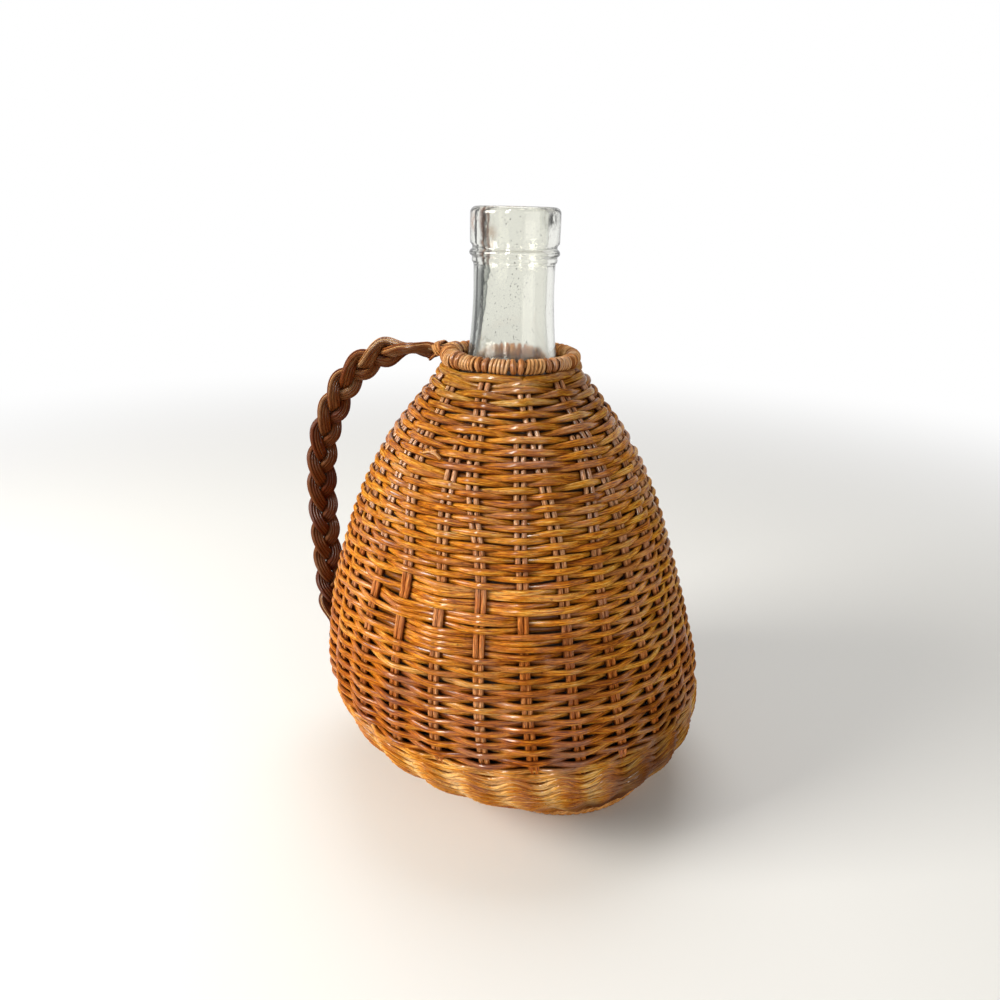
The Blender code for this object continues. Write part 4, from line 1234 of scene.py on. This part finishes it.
def glass_material():
    """Make clear glass with painted grey edges, and a painted grey line and veil down the neck's left, for
    dark surroundings seen through it, the line turning to brown residue at the lip, residue spots, small
    specks and uneven walls.
    """
    shader = Shader(
        "clear_glass", Transmission_Weight=1.0, IOR=1.5, Roughness=0.015, Specular_IOR_Level=0.5,
    )
    place, axes = shader.place()
    height = axes["z"]
    # Painted shade: grey towards the glass's edges, for dark surroundings seen through it at a slant
    edge = shader.add("ShaderNodeLayerWeight", 0.5, output=1)
    surface = shader.mix(shader.ramp(edge, *PAINTED_EDGE_RANGE), color(238, 238, 231), color(84, 90, 90))
    # Painted shade: the body inside the casing is tinted dark brown, so the gaps in the weave look dark
    surface = shader.mix(shader.ramp(height, *BODY_SHADE_RANGE), surface, color(98, 56, 26))

    speck = shader.noise(place, SPECK_NOISE, 0.0)
    surface = shader.mix(shader.ramp(speck, *SPECK_RANGE), surface, color(60, 54, 44))
    blot = shader.noise(place, BLOT_NOISE, *FINE_DETAIL)
    for centre, radius, shade, amount in glass_stains:
        near = shader.spot(place, centre, radius, GLASS_STAIN_CORE)
        near = shader.times(near, shader.ramp(blot, *BLOT_RANGE, amount))
        surface = shader.mix(near, surface, shade)

    # Painted refraction: a grey line down the neck's left with a grey veil beside it, for dark surroundings
    # seen through the neck; brown near the lip, a residue there
    angle = shader.math("ARCTAN2", axes["y"], axes["x"])
    drift = shader.ramp(height, *STREAK_RANGE)
    sway = shader.times(shader.math("SUBTRACT", blot, 0.5), STREAK_SWAY)
    beyond = shader.math("SUBTRACT", shader.math("ADD", drift, sway), angle)
    line = shader.times(*[shader.ramp(beyond, *edge) for edge in STREAK_EDGES])
    shade = shader.mix(shader.ramp(height, *STREAK_LIP_RANGE), color(46, 50, 48), color(76, 44, 28))
    surface = shader.mix(shader.times(line, shader.ramp(blot, *STREAK_BLOT_RANGE)), surface, shade)
    refraction_veil = shader.times(*[shader.ramp(beyond, *edge) for edge in VEIL_EDGES])
    refraction_veil = shader.times(refraction_veil, shader.ramp(height, *VEIL_RANGE))
    shader.use("Base Color", shader.mix(refraction_veil, surface, color(104, 110, 106)))
    worn = shader.ramp(height, *WORN_RANGE)
    shader.use("Roughness", shader.math("ADD", worn, shader.ramp(height, *BODY_WORN_RANGE)))

    wave = shader.noise(place, WAVE_NOISE)
    ripple = shader.noise(place, RIPPLE_NOISE)
    lip = shader.times(shader.times(ripple, shader.ramp(height, *LIP_RIPPLE_RANGE)), LIP_RIPPLE)
    foot = shader.times(shader.times(ripple, shader.ramp(height, *FOOT_RIPPLE_RANGE)), FOOT_RIPPLE)
    shader.bump(shader.math("ADD", wave, shader.math("ADD", lip, foot)), *GLASS_RELIEF)
    return shader.material


# Studio
FLOOR_RADIUS = 4.0
FLOOR_CORNERS = 96
FLOOR_FADE = (0.30, 1.10)
white = (1.0, 1.0, 1.0, 1.0)
room_color = (1.0, 0.96, 0.90, 1.0)
ROOM_POWER = 0.32
CARD_PLACE = Vector((-0.215, 0.340, 0.24))
CARD_WIDTH = 0.12
CARD_HEIGHT = 0.50
GLINT_HEIGHT = 1.16

# Lamps: name, place, target, size, power and colour
lamps = (
    ("window", (-0.92, -0.36, 0.60), (0.0, 0.0, 0.12), 0.50, 15.4, (1.0, 0.97, 0.91)),
    ("glint", (-0.36, -0.96, 0.92), (-0.02, -0.08, 0.16), 0.17, 29.0, (1.0, 0.95, 0.88)),
    ("fill", (0.8, -0.8, 0.5), (0.0, 0.0, 0.12), 0.8, 3.5, (1.0, 0.97, 0.90)),
    ("top", (0.0, 0.3, 1.1), (0.0, 0.0, 0.10), 0.7, 5.0, (0.97, 0.98, 1.0)),
)


def add_floor():
    """Lay a plain pale floor that fades to white far from the object."""
    shader = Shader("floor_paint", Base_Color=color(226, 226, 224), Roughness=0.75, Specular_IOR_Level=0.2)
    place = shader.add("ShaderNodeTexCoord", output=3)
    away = shader.add("ShaderNodeVectorMath", place, operation="LENGTH", output=1)
    faded = shader.times(shader.ramp(away, *FLOOR_FADE), shader.seen())
    glow = shader.add("ShaderNodeEmission", white, 1.0)
    mixed = shader.add("ShaderNodeMixShader", faded, shader.surface.outputs[0], glow)
    shader.join(mixed, shader.tree.nodes["Material Output"].inputs["Surface"])
    bpy.ops.mesh.primitive_circle_add(vertices=FLOOR_CORNERS, radius=FLOOR_RADIUS, fill_type="NGON")
    floor = bpy.context.object
    floor.name = "floor"
    floor.data.materials.append(shader.material)


def add_room():
    """Light the scene dimly from all sides, with surroundings that look white."""
    world = bpy.data.worlds.new("surroundings")
    world.use_nodes = True
    bpy.context.scene.world = world
    nodes = Nodes(world.node_tree)
    dim = nodes.tree.nodes["Background"]
    dim.inputs["Color"].default_value = room_color
    dim.inputs["Strength"].default_value = ROOM_POWER
    bright = nodes.add("ShaderNodeBackground", white)
    mixed = nodes.add("ShaderNodeMixShader", nodes.seen(), dim.outputs[0], bright)
    nodes.join(mixed, nodes.tree.nodes["World Output"].inputs["Surface"])


def add_card():
    """Stand a dark card beside the camera's view, which shows only in the glass and its edges."""
    mesh = bpy.data.meshes.new("left_card")
    wide, tall = CARD_WIDTH / 2, CARD_HEIGHT / 2
    corners = [(-wide, 0, -tall), (wide, 0, -tall), (wide, 0, tall), (-wide, 0, tall)]
    mesh.from_pydata(corners, [], [(0, 1, 2, 3)])
    mesh.materials.append(Shader("left_card", Base_Color=color(34, 36, 44), Roughness=0.8).material)
    card = bpy.data.objects.new("left_card", mesh)
    card.location = CARD_PLACE
    card.rotation_euler = (0.0, 0.0, math.atan2(CARD_PLACE.x, -CARD_PLACE.y))
    card.visible_camera = card.visible_diffuse = card.visible_glossy = card.visible_shadow = False
    bpy.context.scene.collection.objects.link(card)


def add_light(name, place, target, size, power, tint):
    """Hang a square soft light that faces a point."""
    data = bpy.data.lights.new(name, "AREA")
    data.size = size
    data.energy = power
    data.color = tint
    light = bpy.data.objects.new(name, data)
    light.location = place
    light.rotation_euler = (Vector(target) - Vector(place)).to_track_quat("-Z", "Y").to_euler()
    bpy.context.scene.collection.objects.link(light)


def studio():
    """Set the floor, the surroundings, the card and the lamps. The glint is tall, and lights only gloss."""
    add_floor()
    add_room()
    add_card()
    for lamp in lamps:
        add_light(*lamp)
    glint = bpy.data.objects["glint"]
    glint.data.shape = "RECTANGLE"
    glint.data.size_y = GLINT_HEIGHT
    glint.visible_diffuse = False


def camera():
    """Stand the camera where the photograph was taken from."""
    data = bpy.data.cameras.new("camera")
    data.lens = CAMERA_LENS
    data.sensor_width = SENSOR_WIDTH
    data.clip_start = CLIP_START
    made = bpy.data.objects.new("camera", data)
    aimed = Matrix.Rotation(-CAMERA_YAW, 4, "Z") @ Matrix.Rotation(math.pi / 2 - CAMERA_PITCH, 4, "X")
    made.matrix_world = Matrix.Translation(CAMERA_PLACE) @ aimed @ Matrix.Rotation(CAMERA_ROLL, 4, "Z")
    bpy.context.scene.collection.objects.link(made)
    bpy.context.scene.camera = made


def main():
    """Set the studio, and dress the part piece by piece."""
    camera()
    studio()
    weave(cane_material("woven_cane", golden_tones, wall_regions, wall_stains_and_shade))
    stakes(cane_material("stake_cane", stake_tones, stake_regions, behind_shade_share=0.3))
    border(cane_material("border_cane", border_tones))
    plain = cane_material("base_cane", base_tones)
    base(plain)
    rim(cane_material("rim_cane", rim_tones))
    handle(cane_material("handle_reed", reed_tones, handle_regions, gloss=0.16))
    glass(glass_material())
    for index in range(1, BASE_BARS + 1):
        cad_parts["base_stick_%d" % index].material_slots[0].material = plain
    bpy.context.scene.view_settings.view_transform = "Standard"


main()
